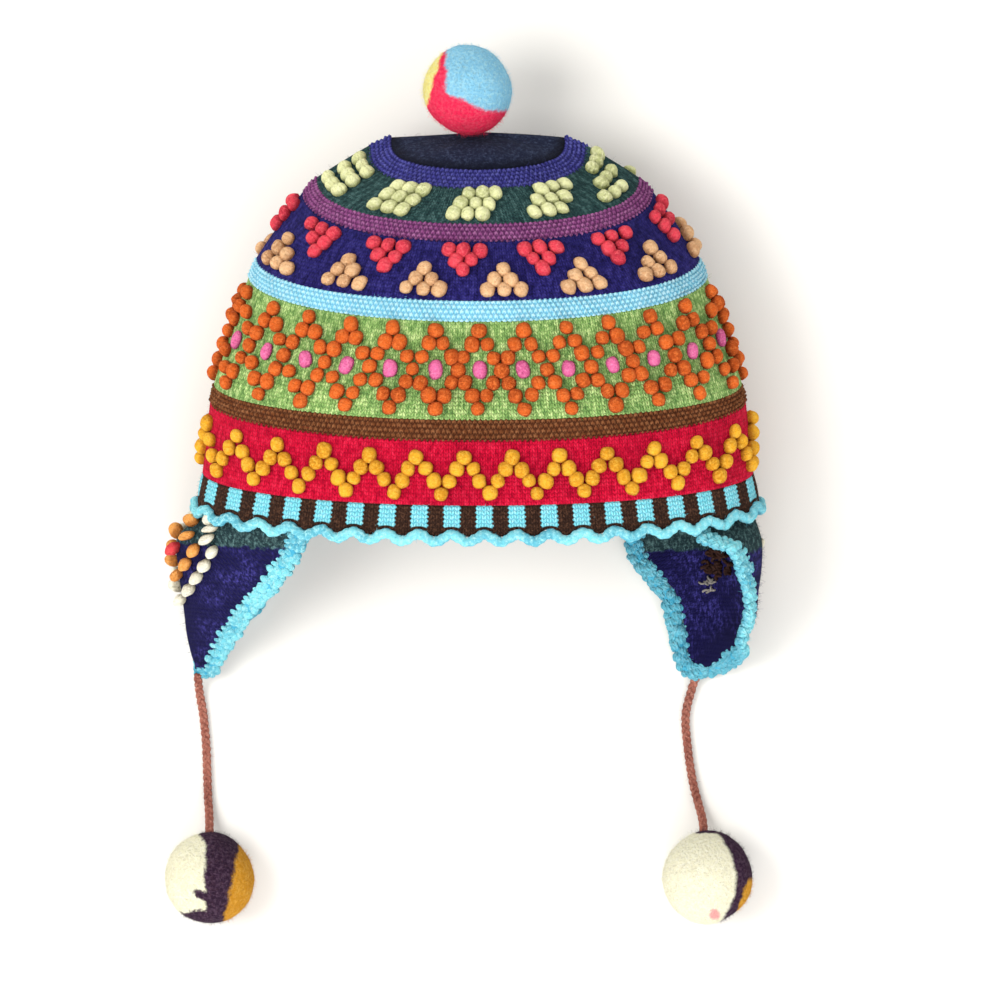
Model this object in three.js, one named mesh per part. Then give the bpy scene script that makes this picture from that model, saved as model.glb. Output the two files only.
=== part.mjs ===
// A knitted hat with ear flaps, ties and felt balls, lying on its back as it does on a table.
// Lengths are millimetres. +Z is up from the table, +Y runs from the ear flaps to the crown, and +X is to
// the right. Angles round the hat are 0 at the front, which lies on top, 90 at the right side and 180 at
// the back.
import * as THREE from "three";

// Knitting
const WALL = 2.4; // thickness of the knitted wall
const SEAM = 0.6; // gap between neighbouring rings, measured along the hat
const TALL_RING = 25; // a ring taller than this has one more line inside, so that its wall stays even
const BOBBLE_HEIGHT = 4.2; // how far a knitted bobble stands out from the wall
const FOOT_REACH = 0.7; // the flat foot of an outermost bobble, as a part of the way to the edge
const FRONT_SQUARENESS = 0.95; // 1 is an ellipse, and less is a squarer section
const BACK_SQUARENESS = 0.71; // the back is flattened by the table

// Rim
const RIM_WAVES = 40; // coloured blocks of each colour round the rim, one wave of the edge for each pair
const RIM_WAVE = 2.2; // how far the wavy lower edge runs above and below its middle
const EDGE_RADIUS = 1.75; // the crocheted cord that follows the wavy edge
const EDGE_STAND_OFF = 0.4; // how far that cord's centre lies outside the wall's outer face

// Ear flaps
const FLAP_INSET = WALL + 1.2; // the flaps are sewn inside the rim, this far in from its outer face
const FLAP_GRID = 7; // columns of the flap's lattice on each side of its centre line
const FLAP_STITCH = 4; // distance between those columns where the bobbles are
const FLAP_FINE = 5; // columns on each side that keep that distance
const FLAP_SLUMP = 0.35; // how much the back half of a flap sinks towards the table
const TRIM_REACH = 3.7; // half the width of the crocheted edging round a flap
const TRIM_TIP_REACH = 2.2; // the same at the tip of the flap
const TRIM_THICK = 2.0; // half the thickness of that edging
const TRIM_GAP = 1.2; // between the edging and the flap's cut edge
const FLAP_TAPER = 18; // the stretch before the tip over which the edging narrows and the wall thins
const FLAP_TIP_WALL = 1.5;

// Felt balls and ties
const BALL_RADIUS = 20;
const BALL_STEPS = 8; // from the bottom of a ball to its top
const BALL_SIDES = 12;
const BALL_GAP = 0.4;
const TIE_RADIUS = 1.9;
const TIE_STEPS = 10; // along a tie
const TIE_SIDES = 8;

// The hat's outer face. Each row is one round of the knitting, from the edge of the crown to the rim.
// down is the distance along the knitting, half is half the width. The rest are the place of the round
// on its side folds and on the front and back centre lines.
const ROUNDS = [
  { down: 0, half: 38.5, sideY: -1, frontY: -17, backY: -27, sideZ: 38, frontZ: 68.5, backZ: 8 },
  { down: 9.5, half: 47.5, sideY: -5, frontY: -25, backY: -32, sideZ: 38.5, frontZ: 73, backZ: 5 },
  { down: 32, half: 71, sideY: -19.5, frontY: -41, backY: -47, sideZ: 41, frontZ: 81, backZ: 4.3 },
  { down: 40, half: 76.5, sideY: -25, frontY: -48.4, backY: -53.5, sideZ: 42, frontZ: 84, backZ: 4.2 },
  { down: 72, half: 97.5, sideY: -55, frontY: -74.8, backY: -78, sideZ: 45, frontZ: 90.5, backZ: 4.2 },
  { down: 80.5, half: 100.5, sideY: -62.5, frontY: -83.6, backY: -86, sideZ: 46, frontZ: 92, backZ: 4.2 },
  { down: 127, half: 116, sideY: -110.4, frontY: -126.7, backY: -124, sideZ: 48, frontZ: 94, backZ: 4.2 },
  { down: 135, half: 117.5, sideY: -117, frontY: -135.5, backY: -132, sideZ: 48, frontZ: 94, backZ: 4.2 },
  { down: 165.5, half: 121, sideY: -149, frontY: -164, backY: -159, sideZ: 48, frontZ: 93, backZ: 4.2 },
  { down: 177.5, half: 123.5, sideY: -161, frontY: -176, backY: -170, sideZ: 47.5, frontZ: 91.5, backZ: 4.2 },
];
const RIM = ROUNDS.at(-1).down;

// Soft dents pressed into the front: where their middle is, how far they spread and how deep they are.
const DENTS = [
  { x: 2, down: 108, wide: 26, long: 24, deep: 3.6 },
  { x: -58, down: 150, wide: 20, long: 22, deep: 1.8 },
  { x: 52, down: 146, wide: 18, long: 20, deep: 1.6 },
  { x: 0, down: 4, wide: 30, long: 6, deep: 1.5 },
];

// Bobble charts, one line for each row of bobbles. A dot is plain knitting.
const DIAMOND_CHART = [
  "....W....",
  "...W.W...",
  "..W.O.W..",
  ".W.O.O.W.",
  "W.O.R.O.W",
  ".W.O.O.W.",
  "..W.O.W..",
  "...W.W...",
  "....W....",
];
const CLUSTER_CHART = ["....Y.Y.Y.", "...Y.Y.Y..", "..Y.Y.Y..."];
const TRIANGLE_CHART = ["C.C.C.....", ".C.C......", "..C....P..", "......P.P.", ".....P.P.P"];
const LOZENGE_CHART = ["...O..", "..O.O.", ".O...O", "O..K..", ".O...O", "..O.O.", "...O.."];
const ZIGZAG_CHART = ["...Z..", "..Z.Z.", ".Z...Z", "Z....."];

// The patterns have their repeats round the hat, the row spacing along it, the middle row's place in the
// ring, from 0 to 1, and the distance by which the pattern is turned off the front centre line.
const CLUSTERS = { chart: CLUSTER_CHART, repeats: 10, spacing: 7, middle: 0.48, turned: -18 };
const TRIANGLES = { chart: TRIANGLE_CHART, repeats: 13, spacing: 5.3, middle: 0.5, turned: -13 };
const LOZENGES = { chart: LOZENGE_CHART, repeats: 27, spacing: 5.9, middle: 0.5, turned: -9 };
const ZIGZAG = { chart: ZIGZAG_CHART, repeats: 27, spacing: 5.6, middle: 0.54, turned: -16 };

// Colours
const VIOLET = 0x46418c;
const DARK_GREEN = 0x2d4b48;
const PLUM = 0x73376e;
const NAVY = 0x1e1c4b;
const PALE_SKY = 0x8cd7f0;
const LEAF = 0x6e9655;
const BROWN = 0x734123;
const RED = 0xbe0a28;
const BORDER_BROWN = 0x412b1e;
const CHARCOAL = 0x283042;
const SKY = 0x78d7f0;
const TIE_BROWN = 0xa55a4b;
const CREAM = 0xf0ebc8;
const CORAL = 0xf04650;

// The knitted rings from crown to rim. from and to are rows of ROUNDS.
const RINGS = [
  { name: "violet_ridge", from: 0, to: 1, colour: VIOLET },
  { name: "green_band", from: 1, to: 2, colour: DARK_GREEN, pattern: CLUSTERS },
  { name: "plum_ridge", from: 2, to: 3, colour: PLUM },
  { name: "navy_band", from: 3, to: 4, colour: NAVY, pattern: TRIANGLES },
  { name: "sky_ridge", from: 4, to: 5, colour: PALE_SKY },
  { name: "leaf_band", from: 5, to: 6, colour: LEAF, pattern: LOZENGES },
  { name: "brown_ridge", from: 6, to: 7, colour: BROWN },
  { name: "red_band", from: 7, to: 8, colour: RED, pattern: ZIGZAG },
];

// The ear flaps' outer faces. drop is the distance past the rim. The first two rows lie against the inside
// of the rim, so they give only the angles of the front and the back edge. The rest give the places of the
// front edge, the side fold and the back edge, each as x, y and z.
const FLAPS = {
  left: {
    sewn: [
      { drop: -5.5, front: -39, back: -145 },
      { drop: 4.5, front: -41, back: -144 },
    ],
    rows: [
      { drop: 15, front: [-83.6, -181.3, 72], fold: [-132, -178, 41], back: [-86, -181.3, 7] },
      { drop: 26, front: [-92.6, -194.5, 58], fold: [-132, -191, 32], back: [-96, -194.5, 6.5] },
      { drop: 39, front: [-104.7, -207.7, 40], fold: [-130.5, -205.5, 22], back: [-104, -207.7, 6] },
      { drop: 53, front: [-113.5, -220.3, 26], fold: [-128.7, -219, 16], back: [-121, -219.5, 7] },
      { drop: 63, front: [-118.2, -229.5, 15], fold: [-126.3, -229.3, 11.5], back: [-125.5, -229, 7.7] },
      { drop: 70, front: [-121, -236.2, 10], fold: [-123.6, -236.6, 8.6], back: [-125.4, -236.2, 6.6] },
    ],
  },
  right: {
    sewn: [
      { drop: -5.5, front: 52, back: 152 },
      { drop: 4.5, front: 55, back: 151.5 },
    ],
    rows: [
      { drop: 15, front: [112, -181.3, 70], fold: [124, -178, 43], back: [72.8, -181.3, 7.5] },
      { drop: 26, front: [116.2, -191, 61], fold: [123.4, -189, 36], back: [78, -190.5, 7] },
      { drop: 39, front: [117.6, -203, 49], fold: [121.4, -201.5, 28], back: [87.5, -201.5, 6.5] },
      { drop: 53, front: [116.5, -215.5, 35], fold: [119.2, -214.5, 19], back: [91, -214.3, 6] },
      { drop: 63, front: [111.5, -225, 18], fold: [108.5, -225, 11], back: [92.4, -225, 5.6] },
      { drop: 70, front: [104.5, -231.2, 9], fold: [101.5, -231.5, 7], back: [93.6, -231, 5.3] },
      { drop: 73, front: [100.4, -234.2, 6.2], fold: [97.2, -234.8, 5.8], back: [94, -234.2, 5.2] },
    ],
  },
};
const FLAP_CLEAR_DROP = 3.4; // past the rim, where a flap comes out from under the wavy edge
const FLAP_FIRST_ROW = 8; // past the rim, the first row of the bobble diamond on a flap
const FLAP_ROW_SPACING = 3.9;

// The ties lie on the table from the tip of a flap to a felt ball. z is the height over the table.
const TIES = {
  left: {
    route: [
      [-123.9, -242.2, 6.2],
      [-123.4, -247.2, 3.3],
      [-121.9, -256.1, 2.1],
      [-120.6, -269.3, 2.1],
      [-120.1, -282.5, 2.1],
      [-119.7, -293.5, 2.3],
      [-119.1, -302.3, 4.4],
    ],
    ball: [-118.8, -327.8],
  },
  right: {
    route: [
      [96.4, -240.4, 4.6],
      [94.8, -245, 2.6],
      [92, -257, 2.1],
      [93, -272, 2.1],
      [95.2, -286.5, 2.1],
      [97.6, -296, 2.3],
      [99.4, -303, 4.6],
    ],
    ball: [101.6, -327.4],
  },
};
const TOP_BALL = { x: -4.4, y: 18.3, z: 48.6 };

// Steps over which the direction of a face is measured
const ANGLE_STEP = 0.02; // radians round the hat
const PART_STEP = 0.01; // of the way across a flap
const ALONG_STEP = 0.5; // millimetres along the knitting

const radians = THREE.MathUtils.degToRad;

// 0 at both ends of the way from 0 to 1, and 1 at two thirds of it.
function hump(part) {
  return (27 / 4) * part * part * (1 - part);
}

// Smooth value of one column of a table at a place along another column.
function columnAt(rows, along, column, place) {
  const last = rows.length - 1;
  const above = rows.findIndex((row) => row[along] >= place);
  const k = THREE.MathUtils.clamp(above < 0 ? last : above, 1, last);
  const [from, to] = [rows[k - 1], rows[k]];
  const slope = (index) => {
    const before = rows[Math.max(index - 1, 0)];
    const after = rows[Math.min(index + 1, last)];
    return (after[column] - before[column]) / (after[along] - before[along]);
  };
  const span = to[along] - from[along];
  const t = (place - from[along]) / span;
  const rise = to[column] - from[column];
  const start = slope(k - 1) * span;
  const end = slope(k) * span;
  const square = 3 * rise - 2 * start - end;
  const cube = start + end - 2 * rise;
  return from[column] + t * start + t * t * square + t * t * t * cube;
}

// The point of the hat's outer face at an angle round it and a distance down it.
function hatFace(angle, down) {
  const at = (column) => columnAt(ROUNDS, "down", column, down);
  const across = Math.sin(angle);
  const facing = Math.cos(angle);
  const [lineY, lineZ, squareness] = facing >= 0
    ? ["frontY", "frontZ", FRONT_SQUARENESS]
    : ["backY", "backZ", BACK_SQUARENESS];
  const x = at("half") * Math.sign(across) * Math.abs(across) ** squareness;
  const y = at("sideY") + (at(lineY) - at("sideY")) * Math.abs(facing);
  let z = at("sideZ") + (at(lineZ) - at("sideZ")) * Math.abs(facing) ** squareness;
  for (const dent of DENTS) {
    const away = ((x - dent.x) / dent.wide) ** 2 + ((down - dent.down) / dent.long) ** 2;
    z -= dent.deep * Math.exp(-away) * Math.max(facing, 0);
  }
  return new THREE.Vector3(x, y, z);
}

// The outward direction of a face that runs downwards with its second value and to the right with its first.
function outward(face, first, second, firstStep, secondStep) {
  const across = face(first + firstStep, second).sub(face(first - firstStep, second));
  const downwards = face(first, second + secondStep).sub(face(first, second - secondStep));
  return downwards.cross(across).normalize();
}

function hatPoint(angle, down, out) {
  const normal = outward(hatFace, angle, down, ANGLE_STEP, ALONG_STEP);
  return hatFace(angle, down).addScaledVector(normal, out);
}

// Angles that part one round of the knitting into equal lengths, from a point off the front centre line.
function evenAngles(down, count, turned = 0) {
  const samples = 720;
  const lengths = [0];
  for (let i = 1; i <= samples; i++) {
    const angle = (i / samples) * 2 * Math.PI;
    const before = ((i - 1) / samples) * 2 * Math.PI;
    lengths.push(lengths[i - 1] + hatFace(angle, down).distanceTo(hatFace(before, down)));
  }
  const round = lengths[samples];
  return Array.from({ length: count }, (_, i) => {
    const along = (i / count) * round + turned;
    const whole = Math.floor(along / round);
    const rest = along - whole * round;
    const k = Math.min(lengths.findIndex((length) => length > rest), samples);
    const part = (rest - lengths[k - 1]) / (lengths[k] - lengths[k - 1]);
    return ((k - 1 + part) / samples + whole) * 2 * Math.PI;
  });
}

// Points and triangles of one closed body.
class Skin {
  points = [];
  faces = [];

  add(points) {
    const first = this.points.length / 3;
    for (const point of points) this.points.push(point.x, point.y, point.z);
    return points.map((_, i) => first + i);
  }

  quad(a, b, c, d) {
    this.faces.push(a, b, c, a, c, d);
  }

  mesh(name, colour) {
    const geometry = new THREE.BufferGeometry();
    geometry.setAttribute("position", new THREE.Float32BufferAttribute(this.points, 3));
    geometry.setIndex(this.faces);
    geometry.computeVertexNormals();
    return namedMesh(name, geometry, colour);
  }
}

function namedMesh(name, geometry, colour) {
  const wool = new THREE.MeshStandardMaterial({ color: colour, roughness: 0.95, metalness: 0 });
  const mesh = new THREE.Mesh(geometry, wool);
  mesh.name = name;
  return mesh;
}

// A strip of triangles between an upper and a lower line of points, which may differ in number.
// Each line has the points' indexes and their places, which grow along it.
function stitch(skin, upper, lower) {
  let i = 0;
  let k = 0;
  while (i < upper.ids.length - 1 || k < lower.ids.length - 1) {
    const upperDone = i === upper.ids.length - 1;
    const lowerDone = k === lower.ids.length - 1;
    if (lowerDone || (!upperDone && upper.places[i + 1] <= lower.places[k + 1])) {
      skin.faces.push(upper.ids[i], lower.ids[k], upper.ids[i + 1]);
      i++;
    } else {
      skin.faces.push(upper.ids[i], lower.ids[k], lower.ids[k + 1]);
      k++;
    }
  }
}

// A strip between two lines of the same lattice. Its diagonals stay clear of the raised points, so each
// bobble is a pyramid of four faces.
function stitchLattice(skin, upper, lower) {
  for (let i = 0; i < upper.ids.length - 1; i++) {
    const [a, b, c, d] = [upper.ids[i], lower.ids[i], lower.ids[i + 1], upper.ids[i + 1]];
    if (upper.raised[i] || lower.raised[i + 1]) skin.quad(b, c, d, a);
    else skin.quad(a, b, c, d);
  }
}

function joinLines(skin, upper, lower) {
  if (upper.raised && lower.raised) stitchLattice(skin, upper, lower);
  else stitch(skin, upper, lower);
}

// The angles of the plain rounds, the same for all so that neighbouring rings meet along their whole edge.
const ROUND_STEPS = 36;
const ROUND_ANGLES = Array.from({ length: ROUND_STEPS }, (_, i) => (i / ROUND_STEPS) * 2 * Math.PI);

const SIDE_FOLDS = [Math.PI / 2, (3 * Math.PI) / 2];

// A line of points round the hat that ends where it began.
function hatLine(skin, angles, downs, out, raised) {
  const lift = (i) => (raised?.[i] ? BOBBLE_HEIGHT : 0);
  const points = angles.map((angle, i) => hatPoint(angle, downs[i], out + lift(i)));
  const ids = skin.add(points);
  return {
    ids: [...ids, ids[0]],
    places: [...angles, angles[0] + 2 * Math.PI],
    raised: raised && [...raised, raised[0]],
  };
}

function plainLine(skin, down, out) {
  return hatLine(skin, ROUND_ANGLES, ROUND_ANGLES.map(() => down), out);
}

function joinRound(skin, lines) {
  lines.forEach((line, k) => joinLines(skin, line, lines[(k + 1) % lines.length]));
}

// One knitted ring. Its lines of points go down the outer face and back up the inner one.
function knittedRing(ring) {
  const skin = new Skin();
  const top = ROUNDS[ring.from].down + SEAM / 2;
  const bottom = ROUNDS[ring.to].down - SEAM / 2;
  const lines = [plainLine(skin, top, 0)];
  if (ring.pattern) {
    const { chart, repeats, spacing, middle, turned } = ring.pattern;
    const repeat = chart[0].length;
    const columns = evenAngles((top + bottom) / 2, repeats * repeat, turned);
    const bobbled = (row) => columns.map((_, i) => row[i % repeat] !== ".");
    const rowDown = (k) => top + (bottom - top) * middle + (k - (chart.length - 1) / 2) * spacing;
    // A bobble in the first or last row ends at a flat point of its own, between it and the ring's edge.
    // The points on the side folds keep the line as round as the ring.
    const foot = (k, edge) => {
      const raised = bobbled(chart[k]);
      const under = [...columns.filter((_, i) => raised[i]), ...SIDE_FOLDS].sort((a, b) => a - b);
      const away = edge - rowDown(k);
      const down = rowDown(k) + Math.sign(away) * FOOT_REACH * Math.min(spacing, Math.abs(away));
      return hatLine(skin, under, under.map(() => down), 0);
    };
    lines.push(foot(0, top));
    chart.forEach((row, k) => {
      lines.push(hatLine(skin, columns, columns.map(() => rowDown(k)), 0, bobbled(row)));
    });
    lines.push(foot(chart.length - 1, bottom));
  }
  lines.push(plainLine(skin, bottom, 0), plainLine(skin, bottom, -WALL));
  if (bottom - top > TALL_RING) lines.push(plainLine(skin, (top + bottom) / 2, -WALL));
  lines.push(plainLine(skin, top, -WALL));
  joinRound(skin, lines);
  return skin.mesh(ring.name, ring.colour);
}

// The round of the wavy lower edge: low under the brown blocks and high under the blue ones.
const rimAngles = evenAngles(RIM, RIM_WAVES * 2);
const rimWave = rimAngles.map((_, i) => (i % 2 ? RIM_WAVE : -RIM_WAVE));

function stripedBorder() {
  const skin = new Skin();
  const top = ROUNDS.at(-2).down + SEAM / 2;
  const edge = rimWave.map((wave) => RIM + wave - SEAM / 2);
  joinRound(skin, [
    plainLine(skin, top, 0),
    hatLine(skin, rimAngles, edge, 0),
    hatLine(skin, rimAngles, edge, -WALL),
    plainLine(skin, top, -WALL),
  ]);
  return skin.mesh("striped_border", BORDER_BROWN);
}

function scallopedEdge() {
  const skin = new Skin();
  const middle = rimWave.map((wave) => RIM + wave + SEAM + EDGE_RADIUS);
  const corner = (along, out) => {
    const downs = middle.map((down) => down + along);
    return hatLine(skin, rimAngles, downs, EDGE_STAND_OFF + out);
  };
  joinRound(skin, [
    corner(-EDGE_RADIUS, 0),
    corner(0, EDGE_RADIUS),
    corner(EDGE_RADIUS, 0),
    corner(0, -EDGE_RADIUS),
  ]);
  return skin.mesh("scalloped_edge", SKY);
}

// The flat disc at the crown, folded over a ridge where the hat lies flat.
const CROWN_MIDDLE = new THREE.Vector3(0, 0.5, 38.4);
const CROWN_BULGE = 3.2;
const CROWN_COLUMNS = 28;
const CROWN_ROUNDS = [0.3, 0.65, 1]; // as parts of the way from its middle to its edge
const BULGE_WAY = { y: 0.87, z: 0.49 }; // of the front half; the back half bulges down instead of up

function crownFace(angle, part) {
  const rim = hatFace(angle, ROUNDS[0].down - SEAM / 2);
  const point = CROWN_MIDDLE.clone().lerp(rim, part);
  const away = new THREE.Vector3(0, BULGE_WAY.y, BULGE_WAY.z * Math.sign(Math.cos(angle)));
  return point.addScaledVector(away, CROWN_BULGE * hump(part) * Math.abs(Math.cos(angle)));
}

function crownTop() {
  const skin = new Skin();
  const angles = Array.from({ length: CROWN_COLUMNS }, (_, i) => (i / CROWN_COLUMNS) * 2 * Math.PI);
  const crownPoint = (angle, part, out) => {
    if (part === 1) return hatPoint(angle, ROUNDS[0].down - SEAM / 2, out);
    const normal = outward(crownFace, angle, part, ANGLE_STEP, PART_STEP);
    return crownFace(angle, part).addScaledVector(normal, out);
  };
  const line = (part, out) => {
    const ids = skin.add(angles.map((angle) => crownPoint(angle, part, out)));
    return { ids: [...ids, ids[0]], places: [...angles, 2 * Math.PI] };
  };
  const outer = CROWN_ROUNDS.map((part) => line(part, 0));
  const inner = CROWN_ROUNDS.map((part) => line(part, -WALL)).reverse();
  const lines = [...outer, ...inner];
  for (let k = 0; k < lines.length - 1; k++) joinLines(skin, lines[k], lines[k + 1]);
  const inside = CROWN_MIDDLE.clone().setY(CROWN_MIDDLE.y - WALL);
  const [top, under] = skin.add([CROWN_MIDDLE, inside]);
  for (let i = 0; i < CROWN_COLUMNS; i++) {
    skin.faces.push(top, lines[0].ids[i], lines[0].ids[i + 1]);
    skin.faces.push(under, lines.at(-1).ids[i + 1], lines.at(-1).ids[i]);
  }
  return skin.mesh("crown_top", CHARCOAL);
}

// The point of a flap's outer face. across runs from 0 to 1 with growing angle round the hat, and drop is
// the distance past the rim.
function flapFace(flap, across, drop) {
  const [first, second] = flap.sewn;
  const startIsFront = first.front > 0;
  const startAngle = startIsFront ? first.front : first.back;
  const endAngle = startIsFront ? first.back : first.front;
  const fold = (Math.sign(first.front) * 90 - startAngle) / (endAngle - startAngle);
  const sewnPoint = (row) => {
    const [start, end] = startIsFront ? [row.front, row.back] : [row.back, row.front];
    return hatPoint(radians(start + (end - start) * across), RIM + row.drop, -FLAP_INSET);
  };
  const freePoint = (row) => {
    const [start, end] = startIsFront ? [row.front, row.back] : [row.back, row.front];
    const point = new THREE.Vector3()
      .addScaledVector(new THREE.Vector3(...start), ((across - fold) * (across - 1)) / fold)
      .addScaledVector(new THREE.Vector3(...row.fold), (across * (1 - across)) / (fold * (1 - fold)))
      .addScaledVector(new THREE.Vector3(...end), (across * (across - fold)) / (1 - fold));
    const toBack = startIsFront ? (across - fold) / (1 - fold) : (fold - across) / fold;
    if (toBack > 0) point.z -= (point.z - row.back[2]) * FLAP_SLUMP * hump(toBack);
    return point;
  };
  const rows = [
    { drop: first.drop, point: sewnPoint(first) },
    { drop: second.drop, point: sewnPoint(second) },
    ...flap.rows.map((row) => ({ drop: row.drop, point: freePoint(row) })),
  ].map(({ drop: place, point }) => ({ place, x: point.x, y: point.y, z: point.z }));
  return new THREE.Vector3(...["x", "y", "z"].map((axis) => columnAt(rows, "place", axis, drop)));
}

function flapPoint(flap, across, drop, out) {
  const face = (first, second) => flapFace(flap, first, second);
  const normal = outward(face, across, drop, PART_STEP, ALONG_STEP);
  return flapFace(flap, across, drop).addScaledVector(normal, out);
}

// 0 down to where a flap begins to taper and 1 at its tip
function nearTip(flap, drop) {
  const tip = flap.rows.at(-1).drop;
  return THREE.MathUtils.smoothstep(drop, tip - FLAP_TAPER, tip);
}

function flapWall(flap, drop) {
  return THREE.MathUtils.lerp(WALL, FLAP_TIP_WALL, nearTip(flap, drop));
}

// The places across a flap, at one drop, of its lattice's columns. They keep the bobbles' spacing next to
// the centre line and share out what is left.
function flapColumns(flap, drop) {
  const samples = 60;
  const lengths = [0];
  for (let i = 1; i <= samples; i++) {
    const step = flapFace(flap, i / samples, drop).distanceTo(flapFace(flap, (i - 1) / samples, drop));
    lengths.push(lengths[i - 1] + step);
  }
  const half = lengths[samples] / 2;
  const fine = Math.min(FLAP_STITCH, half / FLAP_GRID);
  return Array.from({ length: 2 * FLAP_GRID + 1 }, (_, i) => {
    const column = Math.abs(i - FLAP_GRID);
    const rest = Math.max(column - FLAP_FINE, 0) / (FLAP_GRID - FLAP_FINE);
    const away = Math.min(column, FLAP_FINE) * fine + rest * (half - FLAP_FINE * fine);
    const along = half + Math.sign(i - FLAP_GRID) * away;
    const k = THREE.MathUtils.clamp(lengths.findIndex((length) => length >= along), 1, samples);
    return (k - 1 + (along - lengths[k - 1]) / (lengths[k] - lengths[k - 1])) / samples;
  });
}

// The drops of a flap's rows: two plain ones, those of the diamond and five plain ones down to the tip.
function flapDrops(flap) {
  const chart = DIAMOND_CHART.map((_, k) => FLAP_FIRST_ROW + k * FLAP_ROW_SPACING);
  const left = flap.rows.at(-1).drop - chart.at(-1);
  const plain = [0.25, 0.5, 0.7, 0.87, 1].map((part) => chart.at(-1) + left * part);
  return [flap.sewn[0].drop, FLAP_CLEAR_DROP, ...chart, ...plain];
}

function earFlap(name, flap) {
  const skin = new Skin();
  const firstColumn = FLAP_GRID - (DIAMOND_CHART[0].length - 1) / 2;
  const loops = flapDrops(flap).map((drop, k) => {
    const across = flapColumns(flap, drop);
    const under = across.filter((_, i) => i % 2 === 0);
    const raised = across.map((_, i) => (DIAMOND_CHART[k - 2]?.[i - firstColumn] ?? ".") !== ".");
    const outside = across.map((place, i) => flapPoint(flap, place, drop, raised[i] ? BOBBLE_HEIGHT : 0));
    const inside = under.map((place) => flapPoint(flap, place, drop, -flapWall(flap, drop)));
    const outer = { ids: skin.add(outside), places: across };
    const inner = { ids: skin.add(inside), places: under };
    const ids = [...outer.ids, ...inner.ids.toReversed(), outer.ids[0]];
    return { ids, raised: ids.map((_, i) => raised[i] ?? false), outer, inner };
  });
  for (let k = 0; k < loops.length - 1; k++) joinLines(skin, loops[k], loops[k + 1]);
  stitch(skin, loops[0].inner, loops[0].outer);
  stitch(skin, loops.at(-1).outer, loops.at(-1).inner);
  return skin.mesh(name, NAVY);
}

// The crocheted edging's six-sided section, as parts of its half width and its half thickness
const TRIM_SECTION = [[1, 0], [0.5, 1], [-0.5, 1], [-1, 0], [-0.5, -1], [0.5, -1]];

// The edging runs down one edge of the flap, round its tip and up the other edge.
function flapTrim(name, flap) {
  const skin = new Skin();
  const tip = flap.rows.at(-1).drop;
  const edge = flapDrops(flap).slice(1, -1);
  const roundTip = [0, 0.25, 0.5, 0.75, 1];
  const stations = [
    ...edge.map((drop) => ({ across: 0, drop, turn: 0 })),
    ...roundTip.map((across) => ({ across, drop: tip, turn: across })),
    ...edge.toReversed().map((drop) => ({ across: 1, drop, turn: 1 })),
  ];
  const face = (across, drop) => flapFace(flap, across, drop);
  const loops = stations.map(({ across, drop, turn }) => {
    const reach = THREE.MathUtils.lerp(TRIM_REACH, TRIM_TIP_REACH, nearTip(flap, drop));
    const normal = outward(face, across, drop, PART_STEP, ALONG_STEP);
    const down = face(across, drop + ALONG_STEP).sub(face(across, drop - ALONG_STEP)).normalize();
    const away = down.clone().cross(normal).multiplyScalar(Math.cos(turn * Math.PI));
    away.addScaledVector(down, Math.sin(turn * Math.PI));
    const middle = flapPoint(flap, across, drop, -flapWall(flap, drop) / 2);
    middle.addScaledVector(away, reach + TRIM_GAP);
    const ids = skin.add(TRIM_SECTION.map(([out, up]) =>
      middle.clone().addScaledVector(away, out * reach).addScaledVector(normal, up * TRIM_THICK)));
    return { ids: [...ids, ids[0]], places: [...ids, ids[0]].map((_, i) => i) };
  });
  for (let k = 0; k < loops.length - 1; k++) joinLines(skin, loops[k], loops[k + 1]);
  const [first, last] = [loops[0].ids, loops.at(-1).ids];
  for (let i = 1; i < TRIM_SECTION.length - 1; i++) {
    skin.faces.push(first[0], first[i], first[i + 1]);
    skin.faces.push(last[0], last[i + 1], last[i]);
  }
  return skin.mesh(name, SKY);
}

// A felt ball. Its lowest facets are pressed flat where it rests on the table.
function feltBall(name, colour, middle, flattened) {
  const geometry = new THREE.SphereGeometry(BALL_RADIUS, BALL_SIDES, BALL_STEPS).rotateX(Math.PI / 2);
  const points = geometry.getAttribute("position");
  const flat = -BALL_RADIUS * Math.cos(Math.PI / BALL_STEPS);
  if (flattened) {
    for (let i = 0; i < points.count; i++) points.setZ(i, Math.max(points.getZ(i), flat));
  }
  const ball = namedMesh(name, geometry, colour);
  ball.position.set(middle.x, middle.y, middle.z ?? -flat);
  return ball;
}

// A tie and its ball. The tie's last point lies just short of the ball, in line with its middle.
function tieAndBall(side, tie) {
  const ball = feltBall(`tie_pompom_${side}`, CREAM, { x: tie.ball[0], y: tie.ball[1] }, true);
  const route = tie.route.map((point) => new THREE.Vector3(...point));
  const inward = ball.position.clone().sub(route.at(-1)).normalize();
  route.push(ball.position.clone().addScaledVector(inward, -(BALL_RADIUS + BALL_GAP)));
  const section = new THREE.Shape();
  section.absarc(0, 0, TIE_RADIUS, 0, 2 * Math.PI);
  const geometry = new THREE.ExtrudeGeometry(section, {
    extrudePath: new THREE.CatmullRomCurve3(route, false, "centripetal"),
    steps: TIE_STEPS,
    curveSegments: TIE_SIDES / 2,
    bevelEnabled: false,
  });
  return [namedMesh(`tie_cord_${side}`, geometry, TIE_BROWN), ball];
}

const hat = new THREE.Group();
hat.add(crownTop());
hat.add(...RINGS.map(knittedRing));
hat.add(stripedBorder(), scallopedEdge());
hat.add(feltBall("top_pompom", CORAL, TOP_BALL, false));
for (const [side, flap] of Object.entries(FLAPS)) {
  hat.add(earFlap(`ear_flap_${side}`, flap), flapTrim(`flap_trim_${side}`, flap));
}

const ties = new THREE.Group();
for (const [side, tie] of Object.entries(TIES)) ties.add(...tieAndBall(side, tie));

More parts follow.
